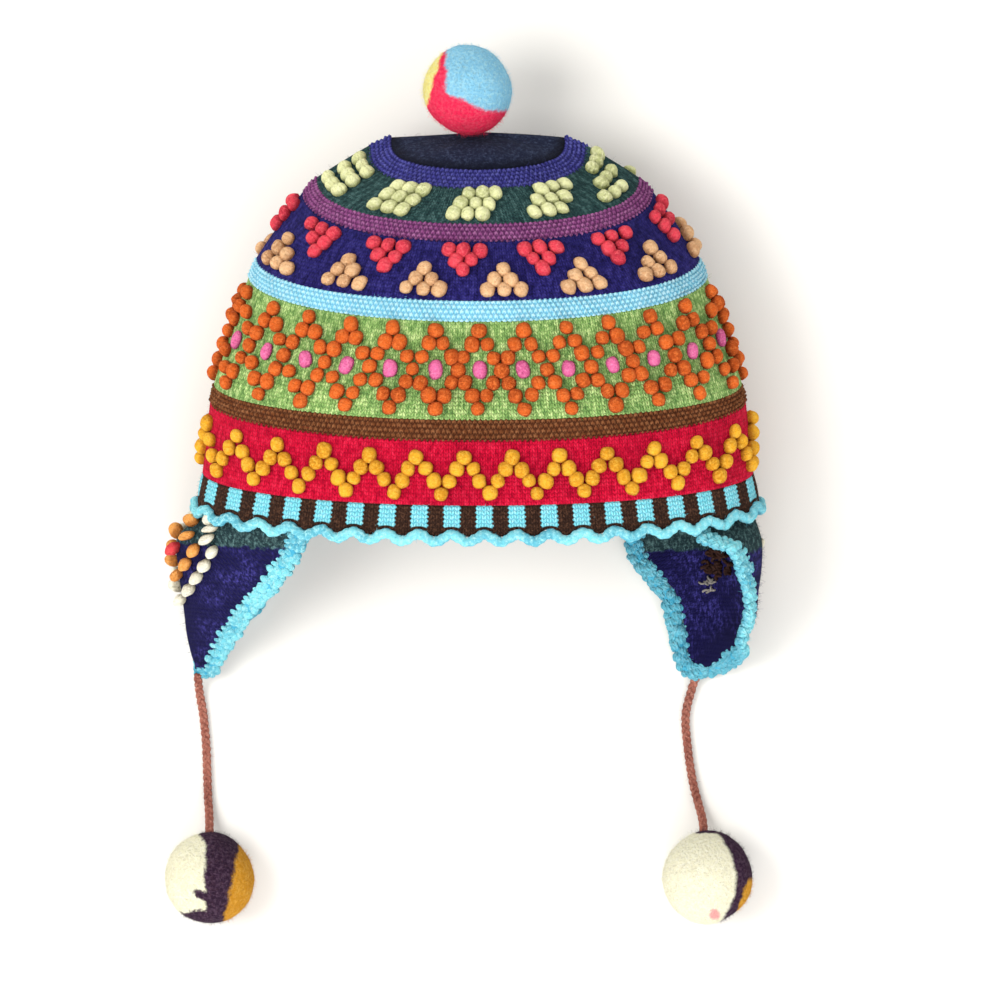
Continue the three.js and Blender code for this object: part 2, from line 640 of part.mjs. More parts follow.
// The origin is under the middle of the hat without its ties, on the table.
const box = new THREE.Box3().setFromObject(hat);
const middle = box.getCenter(new THREE.Vector3());
hat.position.set(-middle.x, -middle.y, -box.min.z);
ties.position.set(-middle.x, -middle.y, 0);

const chullo = new THREE.Group();
chullo.add(hat, ties);
export default chullo;
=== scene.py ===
import bpy
import numpy as np
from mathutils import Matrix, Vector


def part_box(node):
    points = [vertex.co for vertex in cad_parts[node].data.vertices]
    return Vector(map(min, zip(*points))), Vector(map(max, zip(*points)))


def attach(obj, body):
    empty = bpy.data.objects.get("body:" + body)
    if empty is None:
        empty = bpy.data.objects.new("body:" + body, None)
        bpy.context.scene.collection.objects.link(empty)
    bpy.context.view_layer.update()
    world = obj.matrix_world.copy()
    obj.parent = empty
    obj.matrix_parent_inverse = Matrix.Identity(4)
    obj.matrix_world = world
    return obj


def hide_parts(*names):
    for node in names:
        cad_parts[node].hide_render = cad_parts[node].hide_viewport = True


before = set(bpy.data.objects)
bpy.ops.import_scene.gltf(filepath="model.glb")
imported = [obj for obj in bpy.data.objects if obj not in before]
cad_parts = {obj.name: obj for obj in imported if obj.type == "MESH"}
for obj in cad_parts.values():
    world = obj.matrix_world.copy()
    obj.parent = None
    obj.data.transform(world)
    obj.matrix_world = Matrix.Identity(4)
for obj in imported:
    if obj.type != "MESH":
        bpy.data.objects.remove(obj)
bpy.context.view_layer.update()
bpy.context.scene.view_settings.view_transform = "Standard"
print("solids:", len(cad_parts))

# %% [markdown]
# Wool is soft and small, so its sizes are easier to read in millimetres. Every table below is in
# millimetres, with z up from the surface and y towards the crown, and MM turns it into Blender's metres.
# The tables were drawn with the crown at y = 0. The top ball's place in the frame tells how far the whole
# hat was moved after that.
# %% Units and the hat's place
MM = 0.001
TOP_BALL = np.array([-4.4, 18.3, 48.6])


def middle_of(node):
    low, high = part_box(node)
    return np.array((low + high) / 2) / MM


HAT_SHIFT = middle_of("top_pompom") - TOP_BALL
TIE_SHIFT = np.array([HAT_SHIFT[0], HAT_SHIFT[1], 0])
print("the hat's shift in millimetres:", HAT_SHIFT.round(3))

# %% [markdown]
# The camera comes before the pieces, because what it sees decides where detail is worth making. The hat
# is seen from straight above through a long lens, which keeps its outline free of perspective. The view
# covers 440 mm, and its middle is a little right of the hat's and below it.
# %% Camera
VIEW_WIDTH = 440
VIEW_MIDDLE = np.array([9.7, -161.5, 40]) + HAT_SHIFT
CAMERA_HEIGHT = 5000
SENSOR = 36

camera = bpy.data.objects.new("camera", bpy.data.cameras.new("camera"))
bpy.context.scene.collection.objects.link(camera)
camera.data.sensor_width = SENSOR
camera.data.lens = SENSOR * CAMERA_HEIGHT / VIEW_WIDTH
camera.data.clip_end = 20
camera.location = Vector((VIEW_MIDDLE + [0, 0, CAMERA_HEIGHT]) * MM)
bpy.context.scene.camera = camera

# %% [markdown]
# A pale table under soft light from the left. One large lamp gives the soft shadows to the right of the
# hat. A second one in front and a bright sky fill them, so that dark wool still shows its stitches. A
# lamp's row gives its place, its width, its power and its colour.
# %% Table and light
TABLE_SIZE = 8
TABLE_COLOUR = (0.7, 0.688, 0.664, 1)
SKY_COLOUR = (1, 0.985, 0.96, 1)
SKY_STRENGTH = 1.22
LAMPS_AIM = Vector((0, -0.05, 0))
LAMPS = {
    "window": ((-1.1, -0.02, 1.5), 1.0, 26, (1, 0.985, 0.95)),
    "fill": ((0.3, -1.7, 0.9), 1.6, 29, (0.99, 0.99, 1)),
}

bpy.ops.object.select_all(action="DESELECT")
bpy.ops.mesh.primitive_plane_add(size=TABLE_SIZE, location=(0, 0, 0))
table = bpy.context.object
table.name = "table"
white = bpy.data.materials.new("white_table")
white.use_nodes = True
paint = white.node_tree.nodes["Principled BSDF"]
paint.inputs["Base Color"].default_value = TABLE_COLOUR
paint.inputs["Roughness"].default_value = 0.8
table.data.materials.append(white)

world = bpy.data.worlds.new("soft_room")
world.use_nodes = True
sky = world.node_tree.nodes["Background"]
sky.inputs["Color"].default_value = SKY_COLOUR
sky.inputs["Strength"].default_value = SKY_STRENGTH
bpy.context.scene.world = world

for name, (place, width, watts, colour) in LAMPS.items():
    lamp = bpy.data.objects.new(name, bpy.data.lights.new(name, "AREA"))
    bpy.context.scene.collection.objects.link(lamp)
    lamp.data.size = width
    lamp.data.energy = watts
    lamp.data.color = colour
    lamp.location = place
    lamp.rotation_euler = (LAMPS_AIM - Vector(place)).to_track_quat("-Z", "Y").to_euler()
print("lamps:", ", ".join(LAMPS))

# %% [markdown]
# The hat's outer face is one smooth sheet. A table gives, for some rounds of the knitting, how wide the
# round is and where it runs on the side folds and on the front and back centre lines. Every other place
# is on a smooth curve through the table's rows, and the way round is a squashed circle, flatter at the
# back, where the hat lies on the table.
# %% The hat's face
ROUNDS = {
    "down": [0, 9.5, 32, 40, 72, 80.5, 127, 135, 165.5, 177.5],
    "half": [38.5, 47.5, 71, 76.5, 97.5, 100.5, 116, 117.5, 121, 123.5],
    "side_y": [-1, -5, -19.5, -25, -55, -62.5, -110.4, -117, -149, -161],
    "front_y": [-17, -25, -41, -48.4, -74.8, -83.6, -126.7, -135.5, -164, -176],
    "back_y": [-27, -32, -47, -53.5, -78, -86, -124, -132, -159, -170],
    "side_z": [38, 38.5, 41, 42, 45, 46, 48, 48, 48, 47.5],
    "front_z": [68.5, 73, 81, 84, 90.5, 92, 94, 94, 93, 91.5],
    "back_z": [8, 5, 4.3, 4.2, 4.2, 4.2, 4.2, 4.2, 4.2, 4.2],
    "front_square": [0.55, 0.62, 0.8, 0.85, 0.95, 1, 1, 1, 1, 1],
}
RIM = ROUNDS["down"][-1]
WALL = 2.4
FRONT_SQUARENESS = 0.95
BACK_SQUARENESS = 0.71
DENTS = [
    {"x": 2, "down": 108, "wide": 26, "long": 24, "deep": 3.6},
    {"x": -9, "down": 104, "wide": 10, "long": 26, "deep": 2.4},
    {"x": -58, "down": 150, "wide": 20, "long": 22, "deep": 1.8},
    {"x": 52, "down": 146, "wide": 18, "long": 20, "deep": 1.6},
    {"x": 0, "down": 4, "wide": 30, "long": 6, "deep": 1.5},
]


def smooth_value(places, values, place):
    """Values on a smooth curve through a table's rows. A row may hold one value or a point for each place."""
    places, values = np.asarray(places, float), np.asarray(values, float)
    last = len(places) - 1
    before, after = np.maximum(np.arange(last + 1) - 1, 0), np.minimum(np.arange(last + 1) + 1, last)
    gaps = places[after] - places[before]
    slopes = (values[after] - values[before]) / gaps.reshape(-1, *[1] * (values.ndim - 1))
    k = np.clip(np.searchsorted(places, place), 1, last)
    span = places[k] - places[k - 1]
    t = (place - places[k - 1]) / span

    def row(table, index):
        return table[index] if table.ndim == 1 else table[index, np.arange(len(index))]

    if values.ndim > 1:
        t, span = t[:, None], span[:, None]
    first, rise = row(values, k - 1), row(values, k) - row(values, k - 1)
    start, end = row(slopes, k - 1) * span, row(slopes, k) * span
    return first + t * start + t * t * (3 * rise - 2 * start - end) + t**3 * (start + end - 2 * rise)


def hat_face(angle, down):
    """Points of the outer face. The angle is 0 at the front, on top, and grows towards the right side."""
    angle, down = np.broadcast_arrays(np.asarray(angle, float), np.asarray(down, float))
    at = {name: smooth_value(ROUNDS["down"], values, down) for name, values in ROUNDS.items()}
    across, facing = np.sin(angle), np.cos(angle)
    front = facing >= 0
    power = np.where(front, FRONT_SQUARENESS, BACK_SQUARENESS)
    line_y = np.where(front, at["front_y"], at["back_y"])
    line_z = np.where(front, at["front_z"], at["back_z"])
    x = at["half"] * np.sign(across) * np.abs(across) ** power
    y = at["side_y"] + (line_y - at["side_y"]) * np.abs(facing) ** np.where(front, at["front_square"], 1)
    z = at["side_z"] + (line_z - at["side_z"]) * np.abs(facing) ** power
    for dent in DENTS:
        away = ((x - dent["x"]) / dent["wide"]) ** 2 + ((down - dent["down"]) / dent["long"]) ** 2
        z = z - dent["deep"] * np.exp(-away) * np.maximum(facing, 0)
    return np.stack([x, y, z], axis=-1)


def unit(vectors):
    return vectors / np.linalg.norm(vectors, axis=-1, keepdims=True)


def ways(face, first, second, first_step, second_step):
    """The unit vectors across a face, down it and out of it."""
    across = unit(face(first + first_step, second) - face(first - first_step, second))
    down = unit(face(first, second + second_step) - face(first, second - second_step))
    return across, down, unit(np.cross(down, across))


def hat_point(angle, down, out=0.0):
    normal = ways(hat_face, angle, down, 0.02, 0.5)[2]
    return hat_face(angle, down) + normal * np.reshape(out, (-1, 1))


def round_length(down):
    line = hat_face(np.linspace(0, 2 * np.pi, 721), np.full(721, float(down)))
    return np.concatenate([[0], np.cumsum(np.linalg.norm(np.diff(line, axis=0), axis=1))])


def even_angles(down, parts, turned=0.0):
    """Angles at parts of the way round the hat, measured along the knitting, turned by some millimetres."""
    lengths = round_length(down)
    along = np.asarray(parts) * lengths[-1] + turned
    whole = np.floor(along / lengths[-1])
    angles = np.interp(along - whole * lengths[-1], lengths, np.linspace(0, 2 * np.pi, 721))
    return angles + whole * 2 * np.pi


print("round the rim:", round_length(RIM)[-1].round(), "mm")

# %% [markdown]
# Knitting is a sheet, so each ring starts as Blender's grid, a flat primitive with rows and columns. Its
# corners are sent to their places on the hat, its two ends are merged, and a Solidify modifier gives it
# the wall. The grid's UV map then counts stitches across and rows down, so that a material can draw
# stitches that follow the hat, whatever its shape.
# %% A grid laid over the hat
def only(piece):
    bpy.ops.object.select_all(action="DESELECT")
    piece.select_set(True)
    bpy.context.view_layer.objects.active = piece


def corners(piece):
    flat = np.empty(len(piece.data.vertices) * 3)
    piece.data.vertices.foreach_get("co", flat)
    return flat.reshape(-1, 3)


def move_corners(piece, points):
    piece.data.vertices.foreach_set("co", np.asarray(points, float).ravel())
    piece.data.update()


def write_uv(piece, place):
    """Gives every corner of a mesh its place on the UV map."""
    corner = np.empty(len(piece.data.loops), int)
    piece.data.loops.foreach_get("vertex_index", corner)
    layers = piece.data.uv_layers
    layer = layers[0] if layers else layers.new(name="UVMap")
    layer.data.foreach_set("uv", np.asarray(place, float)[corner].ravel())


def lay_grid(name, columns, rows, place, stitches, closed=True):
    """A grid whose corners go to place(across, along), both from 0 to 1, in millimetres."""
    bpy.ops.object.select_all(action="DESELECT")
    bpy.ops.mesh.primitive_grid_add(x_subdivisions=columns, y_subdivisions=rows, size=2)
    piece = bpy.context.object
    piece.name = name
    flat = corners(piece)
    across, along = (flat[:, 0] + 1) / 2, (1 - flat[:, 1]) / 2
    move_corners(piece, (place(across, along) + HAT_SHIFT) * MM)
    write_uv(piece, np.stack(stitches(across, along), 1))
    if closed:
        bpy.ops.object.mode_set(mode="EDIT")
        bpy.ops.mesh.select_all(action="SELECT")
        bpy.ops.mesh.remove_doubles(threshold=0.00002)
        bpy.ops.object.mode_set(mode="OBJECT")
    return piece


def apply(piece, kind, **settings):
    only(piece)
    modifier = piece.modifiers.new(kind.lower(), kind)
    for setting, value in settings.items():
        setattr(modifier, setting, value)
    bpy.ops.object.modifier_apply(modifier=modifier.name)


def finish_piece(piece, nodes, slot, *materials):
    """Every new piece rides on the hat, stands for its solids and wears its materials."""
    print(f"{piece.name}: {len(piece.data.polygons)} faces")
    piece.data.shade_smooth()
    piece.data.materials.clear()
    for material in materials:
        piece.data.materials.append(material)
    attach(piece, "root")
    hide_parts(*nodes)
    return piece


def piece_from(name, points, faces):
    """A new piece from corners, in millimetres in the frame, and faces."""
    mesh = bpy.data.meshes.new(name)
    mesh.from_pydata((np.asarray(points) * MM).tolist(), [], faces)
    piece = bpy.data.objects.new(name, mesh)
    bpy.context.scene.collection.objects.link(piece)
    return piece


# %% [markdown]
# Wool is never smooth: fine fibres stand off it and soften every outline. Each is a thin strip of two bent
# faces, rooted at a place picked by chance, and the fibres are joined to their piece. Two numbers for each
# kind of piece say how many fibres it has, or how many each bobble has, and how long they may be.
# %% Wool fibres
ON_TABLE = 0.05
FIBRE_WIDTH = 0.11
FIBRE_ROOT = 0.15
FIBRE_LEAN = 0.6
FIBRE_CURL = 0.55
FIBRE_TAPER = 0.6
FIBRES = {
    "band": (5000, 2.2), "ridge": (1200, 1.8), "bobble": (14, 1.3), "border": (3000, 1.8),
    "edge": (2500, 1.5), "crown": (3000, 2.2), "flap": (4500, 2.2), "edging": (2000, 1.4),
    "tie": (900, 1.5), "ball": (6000, 1.8),
}
fibre_chance = np.random.default_rng(11)


def face_values(mesh, name, kind, width=1):
    """A value, or a row of them, for every face of a mesh."""
    values = np.empty(len(mesh.polygons) * width, kind)
    mesh.polygons.foreach_get(name, values)
    return values.reshape(-1, width) if width > 1 else values


def grow_fibres(piece, kind, times=1):
    """Fibres on a finished piece, each in the colour of the face under it. None goes below the table."""
    count, length = FIBRES[kind]
    count *= times
    mesh = piece.data
    area = face_values(mesh, "area", float)
    chosen = fibre_chance.choice(len(mesh.polygons), count, p=area / area.sum())
    normal = face_values(mesh, "normal", float, 3)[chosen]
    spread = np.sqrt(area[chosen])[:, None] / MM * 0.5
    aside = np.cross(fibre_chance.normal(size=(count, 3)), normal) * spread
    root = face_values(mesh, "center", float, 3)[chosen] / MM + aside - normal * FIBRE_ROOT
    way = unit(normal + fibre_chance.normal(size=(count, 3)) * FIBRE_LEAN)
    curl = unit(fibre_chance.normal(size=(count, 3))) * FIBRE_CURL
    side = unit(np.cross(way, fibre_chance.normal(size=(count, 3)))) * FIBRE_WIDTH / 2
    reach = length * fibre_chance.uniform(0.3, 1.0, (count, 1))
    levels = []
    for t in (0, 0.5, 1):
        middle = root + reach * (way * t + curl * t * t)
        half = side * (1 - FIBRE_TAPER * t)
        levels += [middle - half, middle + half]
    points = np.stack(levels, 1).reshape(-1, 3)
    points[:, 2] = np.maximum(points[:, 2], ON_TABLE)
    faces = [(k + i, k + i + 1, k + i + 3, k + i + 2) for k in range(0, 6 * count, 6) for i in (0, 2)]
    fibres = piece_from("fibres", points, faces)
    fibres.data.shade_smooth()
    for material in mesh.materials:
        fibres.data.materials.append(material)
    looks = face_values(mesh, "material_index", int)[chosen]
    fibres.data.polygons.foreach_set("material_index", np.repeat(looks, 2))
    if mesh.uv_layers:
        uv = np.empty(len(mesh.loops) * 2)
        mesh.uv_layers[0].data.foreach_get("uv", uv)
        first_corner = face_values(mesh, "loop_start", int)[chosen]
        write_uv(fibres, np.repeat(uv.reshape(-1, 2)[first_corner], 6, axis=0))
    only(piece)
    fibres.select_set(True)
    bpy.ops.object.join()


# %% [markdown]
# Shader maths reads best as an expression. The class below wraps a number's socket, so that plain plus,
# minus and times add Math nodes.
# %% Numbers in a material
class Number:
    """A number in a material. Expressions on it add Math nodes."""

    def __init__(self, finish, socket):
        self.finish, self.socket = finish, socket

    def maths(self, operation, *values):
        return self.finish.number("ShaderNodeMath", {"operation": operation}, *values)

    def __add__(self, other):
        return self.maths("ADD", self, other)

    def __sub__(self, other):
        return self.maths("SUBTRACT", self, other)

    def __rsub__(self, other):
        return self.maths("SUBTRACT", other, self)

    def __mul__(self, other):
        return self.maths("MULTIPLY", self, other)

    def __truediv__(self, other):
        return self.maths("DIVIDE", self, other)

    def __pow__(self, other):
        return self.maths("POWER", self, other)

    __radd__ = __add__
    __rmul__ = __mul__

    def at_most(self, other):
        return self.maths("MINIMUM", self, other)

    def at_least(self, other):
        return self.maths("MAXIMUM", self, other)

    def size(self):
        return self.maths("ABSOLUTE", self)

    def floor(self):
        return self.maths("FLOOR", self)

    def sine(self):
        return self.maths("SINE", self)

    def cosine(self):
        return self.maths("COSINE", self)

    def part(self):
        return self.maths("FRACT", self)

    def wave(self):
        """A sine that repeats at every whole number."""
        return (self * (2 * np.pi)).sine()

    def step(self, low, high):
        """0 below low, 1 above high and smooth between."""
        settings = {"interpolation_type": "SMOOTHSTEP"}
        return self.finish.number("ShaderNodeMapRange", settings, self, low, high, 0, 1)


# %% [markdown]
# The Finish class makes a material, its nodes and its coordinates. Wool scatters light and hardly shines,
# so every finish starts rough, with little gloss and a trace of sheen.
# %% A wool finish
WOOL_ROUGHNESS = 0.9
WOOL_GLOSS = 0.04
WOOL_SHEEN = 0.015
SHEEN_ROUGHNESS = 0.6


class Finish:
    """A material whose principled shader takes what its maker works out."""

    def __init__(self, name):
        self.material = bpy.data.materials.new(name)
        self.material.use_nodes = True
        self.nodes = self.material.node_tree.nodes
        self.shader = self.nodes["Principled BSDF"]
        self.shader.inputs["Roughness"].default_value = WOOL_ROUGHNESS
        self.shader.inputs["Specular IOR Level"].default_value = WOOL_GLOSS
        self.shader.inputs["Sheen Weight"].default_value = WOOL_SHEEN
        self.shader.inputs["Sheen Roughness"].default_value = SHEEN_ROUGHNESS
        coordinates = self.nodes.new("ShaderNodeTexCoord")
        self.place = coordinates.outputs["Object"]
        self.uv = coordinates.outputs["UV"]

    def join(self, value, socket):
        value = value.socket if isinstance(value, Number) else value
        if isinstance(value, bpy.types.NodeSocket):
            self.material.node_tree.links.new(value, socket)
        elif value is not None:
            socket.default_value = value

    def node(self, kind, settings, values=(), **named):
        node = self.nodes.new(kind)
        for setting, value in settings.items():
            setattr(node, setting, value)
        for socket, value in zip(node.inputs, values):
            self.join(value, socket)
        for name, value in named.items():
            self.join(value, node.inputs[name.replace("_", " ")])
        return node

    def number(self, kind, settings, *values):
        return Number(self, self.node(kind, settings, values).outputs[0])

    def axes(self, vector):
        parts = self.node("ShaderNodeSeparateXYZ", {}, [vector]).outputs
        return [Number(self, part) for part in parts]

    def noise(self, scale, detail=3, roughness=0.6, vector=None):
        node = self.node("ShaderNodeTexNoise", {}, Vector=vector or self.place, Scale=scale, Detail=detail,
                         Roughness=roughness)
        return Number(self, node.outputs["Fac"])

    def mix(self, factor, low, high):
        node = self.node("ShaderNodeMix", {"data_type": "RGBA"})
        colours = [socket for socket in node.inputs if socket.type == "RGBA"]
        self.join(factor, node.inputs[0])
        self.join(low, colours[0])
        self.join(high, colours[1])
        return next(socket for socket in node.outputs if socket.type == "RGBA")

    def wear(self, colour, height, distance, roughness=None):
        """Sends a colour and a bump height, over some millimetres, to the shader."""
        bump = self.node("ShaderNodeBump", {}, Height=height, Distance=distance * MM, Strength=1.0)
        self.join(bump.outputs["Normal"], self.shader.inputs["Normal"])
        self.join(colour, self.shader.inputs["Base Color"])
        self.join(roughness, self.shader.inputs["Roughness"])
        return self.material


def rgb(red, green, blue, gain=1.0):
    """A colour as it looks on a screen, from 0 to 255, turned into the linear values that Blender mixes."""
    srgb = np.array([red, green, blue]) / 255
    linear = np.where(srgb > 0.04045, ((srgb + 0.055) / 1.055) ** 2.4, srgb / 12.92)
    return (*np.clip(linear * gain, 0, 1), 1.0)


# %% [markdown]
# Plain knitting shows columns of small V shapes. In a material, the place across a stitch gives the two
# slanting legs of the V, and the same slant bends the rows. Between the legs and at the stitch's ends the
# yarn dips, so the height there is low, and there the colour is darkened as painted shade. Wool is never
# one colour, so flecks of a lighter and a darker yarn run through it.
# %% Knitted wool
GROOVE_SHADE = 0.4


def stitch_height(finish):
    """The height of stockinette stitches, from 0 between the yarns to 1 on them."""
    across, down, _ = finish.axes(finish.uv)
    wobble = finish.noise(450, 2) - 0.5
    leg = ((across + wobble * 0.25).part() - 0.5).size()
    row = (down + leg * 0.9 + wobble * 0.5).part()
    along_leg = (row * np.pi).sine()
    over_leg = leg.wave()
    return (along_leg.at_least(0.0) ** 0.7) * (over_leg.at_least(0.0) ** 0.5)


def wool_colour(finish, main, light, dark, fleck):
    """A heathered colour: patches of lighter and darker yarn at the size of a stitch."""
    patches = finish.noise(700, 4, 0.7).step(0.42, 0.68)
    broad = finish.noise(60, 2).step(0.35, 0.7)
    first = finish.mix(patches * fleck, main, light)
    return finish.mix((1 - patches) * broad * 0.55, first, dark)


def streaky_colour(finish, main, light, dark, fleck):
    """Heather whose flecks are drawn out along the columns of stitches."""
    drawn = finish.node("ShaderNodeMapping", {}, Vector=finish.uv, Scale=(1.15, 0.42, 1)).outputs[0]
    streaks = finish.noise(1.0, 4, 0.75, drawn)
    colour = finish.mix(streaks.step(0.46, 0.66) * fleck, main, light)
    colour = finish.mix((1 - streaks).step(0.5, 0.68) * 0.8, colour, dark)
    return finish.mix(finish.noise(45, 2).step(0.45, 0.75) * 0.3, colour, dark)


def knit(name, main, light, dark, fleck):
    finish = Finish(name)
    height = stitch_height(finish)
    fibre = finish.noise(2600, 3, 0.7)
    colour = streaky_colour(finish, main, light, dark, fleck)
    colour = finish.mix((1 - height).step(0.25, 1.0) * GROOVE_SHADE, colour, dark)
    return finish.wear(colour, height * 0.9 + fibre * 0.35, 0.7, fibre * 0.25 + 0.72)


def yarn(name, main, light, dark, fleck=0.4, shade=0.35, foot=0.0):
    """Thick yarn of bobbles, edging and ties, whose shape is in the mesh and fibres in the bump. Pieces with
    their height in the UV map may get painted shade at the foot, where the yarn dips between its neighbours."""
    finish = Finish(name)
    fibre = finish.noise(2200, 4, 0.75)
    strand = finish.noise(700, 2)
    colour = wool_colour(finish, main, light, dark, fleck)
    colour = finish.mix((1 - fibre).step(0.35, 0.75) * shade, colour, dark)
    height = fibre * 0.8 + strand * 0.8
    if foot:
        across, rise, _ = finish.axes(finish.uv)
        # painted shade: darker round the foot, where the yarn meets its neighbours
        colour = finish.mix((1 - rise.step(-0.1, 0.55)) * foot, colour, dark)
        height = height + (across * 1.6 + strand * 1.2).wave() * 0.22
    return finish.wear(colour, height, 1.6, fibre * 0.25 + 0.72)


# %% [markdown]
# The bands between the ridges are flat stockinette in four colours. Each is one grid from the row above it
# to the row below, with corners about 1.65 mm apart, and the wall is folded round its edges by Solidify.
# %% Knitted bands
STITCH = 2.3
ROW = 1.9
BAND_STEP = 1.65
PURL_TALL = 1.95
AT_BACK = 0.5

BANDS = {
    "green_band": (1, 2, "dark_green_knit", rgb(37, 66, 66), rgb(88, 121, 120), rgb(15, 31, 38), 0.6),
    "navy_band": (3, 4, "navy_knit", rgb(33, 29, 95), rgb(68, 64, 142), rgb(12, 9, 48), 0.55),
    "leaf_band": (5, 6, "leaf_knit", rgb(126, 164, 90), rgb(200, 224, 150), rgb(66, 102, 56), 0.95),
    "red_band": (7, 8, "red_knit", rgb(188, 7, 46), rgb(226, 44, 78), rgb(120, 0, 30), 0.6),
}


def ring_grid(name, top, bottom, step, relief=None, purls=None):
    length = round_length((top + bottom) / 2)[-1]
    columns, rows = round(length / step), max(3, round((bottom - top) / step))
    stitches = round(length / STITCH)

    def place(across, along):
        down = top + (bottom - top) * along
        out = relief(across, down) if relief else 0 * down
        return hat_point(even_angles((top + bottom) / 2, across + AT_BACK), down, out)

    def count(across, along):
        if purls:
            return across * purls, (bottom - top) * along / PURL_TALL
        return across * stitches, -(top + (bottom - top) * along) / ROW

    return lay_grid(name, columns, rows, place, count)


def solid_wall(piece, thickness=WALL):
    apply(piece, "SOLIDIFY", thickness=thickness * MM, offset=-1)


for name, (first, last, slot, main, light, dark, fleck) in BANDS.items():
    band = ring_grid(f"{name}_knit", ROUNDS["down"][first], ROUNDS["down"][last], BAND_STEP)
    solid_wall(band)
    finish_piece(band, [name], slot, knit(slot, main, light, dark, fleck))
    grow_fibres(band, "band")

# %% [markdown]
# The four narrow ridges are purl rows, whose bumps lie half a stitch apart in neighbouring rows. They are
# large enough to catch the light one by one, so they are real relief: the grid's corners, little
# more than half a millimetre apart, are pushed out by a wave across times a wave down.
# %% Purl ridges
PURL_WIDE = 2.3
PURL_HEIGHT = 1.3
PURL_ARC = 0.16
RIDGE_STEP = 0.57
RIDGE_LAP = 0.35

RIDGES = {
    "violet_ridge": (0, 1, "violet_knit", rgb(60, 60, 136), rgb(98, 100, 176), rgb(30, 28, 82)),
    "plum_ridge": (2, 3, "plum_knit", rgb(132, 68, 122), rgb(176, 116, 164), rgb(75, 30, 75)),
    "sky_ridge": (4, 5, "sky_knit", rgb(160, 219, 236), rgb(196, 230, 242), rgb(88, 172, 208)),
    "brown_ridge": (6, 7, "brown_knit", rgb(108, 61, 33), rgb(150, 100, 65), rgb(60, 29, 16)),
}


def purl_relief(purls, top):
    def relief(across, down):
        along = (down - top) / PURL_TALL + PURL_ARC * np.cos(4 * np.pi * across * purls)
        row = np.floor(along)
        over = across * purls + 0.5 * (row % 2)
        bump = np.abs(np.cos(np.pi * over))
        crest = np.sin(np.pi * (along - row))
        return PURL_HEIGHT * (bump * crest * (0.9 + 0.25 * np.sin(over * 5.3 + row)) - 0.35)

    return relief


def purl(name, main, light, dark):
    """The yarn of a ridge, with painted shade between the bumps that the mesh has."""
    finish = Finish(name)
    across, down, _ = finish.axes(finish.uv)
    wobble = (finish.noise(500, 2) - 0.5) * 0.5
    down = down + (across * 2 + 0.25).wave() * PURL_ARC + wobble
    row = down.floor()
    over = across + (row * 0.5).part() + wobble
    bump = (over * np.pi).cosine().size()
    crest = (down * np.pi).sine().size()
    height = bump * crest
    fibre = finish.noise(2200, 4, 0.75)
    colour = finish.mix(finish.noise(500, 3).step(0.4, 0.7) * 0.8, main, light)
    # painted shade between the purl bumps
    colour = finish.mix((1 - height).step(0.3, 0.95) * 0.8, colour, dark)
    return finish.wear(colour, height * 0.6 + fibre * 0.8, 0.8, fibre * 0.25 + 0.72)


for name, (first, last, slot, main, light, dark) in RIDGES.items():
    top, bottom = ROUNDS["down"][first] - RIDGE_LAP, ROUNDS["down"][last] + RIDGE_LAP
    purls = round(round_length((top + bottom) / 2)[-1] / PURL_WIDE)
    ridge = ring_grid(f"{name}_purls", top, bottom, RIDGE_STEP, purl_relief(purls, top), purls)
    solid_wall(ridge)
    finish_piece(ridge, [name], slot, purl(slot, main, light, dark))
    grow_fibres(ridge, "ridge")

# %% [markdown]
# Knitters draw a pattern as a chart: a dot is a plain stitch and a letter is a bobble in that yarn. The
# charts below repeat round the hat. A band's row names its chart and gives how often it repeats, how far its
# rows are apart, where its middle is down the band and how far it is turned round the hat.
# %% Charts and yarns of the bobbles
CHARTS = {
    "cluster": ["....Y.Y.Y..", "...Y.Y.Y...", "..Y.Y.Y...."],
    "triangle": ["C.C.C.....", ".C.C......", "..C....P..", "......P.P.", ".....P.P.P"],
    "lozenge": ["...O..", "..O.O.", ".O...O", "O..K..", ".O...O", "..O.O.", "...O.."],
    "zigzag": ["...Z..", "..Z.Z.", ".Z...Z", "Z....."],
}
PATTERNS = {
    "green_band": ("cluster", 10, 6.4, 0.48, -16.5),
    "navy_band": ("triangle", 13, 5.3, 0.5, -13),
    "leaf_band": ("lozenge", 27, 6.2, 0.5, -9),
    "red_band": ("zigzag", 27, 5.6, 0.54, -16),
}
BOBBLE_YARNS = {
    "Y": ("pale_yellow_bobbles", rgb(250, 252, 192), rgb(255, 255, 224), rgb(148, 158, 88)),
    "C": ("coral_bobbles", rgb(246, 74, 92), rgb(255, 128, 134), rgb(150, 14, 44)),
    "P": ("peach_bobbles", rgb(246, 196, 146), rgb(254, 224, 184), rgb(164, 104, 66)),
    "O": ("orange_bobbles", rgb(234, 108, 40), rgb(252, 150, 82), rgb(132, 46, 16)),
    "K": ("pink_bobbles", rgb(250, 120, 178), rgb(255, 168, 206), rgb(176, 58, 114)),
    "Z": ("yellow_bobbles", rgb(255, 188, 50), rgb(255, 218, 106), rgb(184, 102, 10)),
    "W": ("cream_bobbles", rgb(254, 250, 230), rgb(255, 255, 246), rgb(172, 160, 130)),
    "R": ("red_bobbles", rgb(242, 78, 84), rgb(254, 128, 118), rgb(146, 26, 36)),
    "A": ("apricot_bobbles", rgb(250, 172, 88), rgb(255, 206, 138), rgb(168, 90, 32)),
}
BOBBLE_RADIUS = 3.08
FLARE_HELD = 0.9
# foot=0.65 is painted shade round each bobble's foot, where it meets the knitting
bobble_finishes = {letter: yarn(*colours, shade=0.18, foot=0.65) for letter, colours in BOBBLE_YARNS.items()}
print("bobble yarns:", len(bobble_finishes))

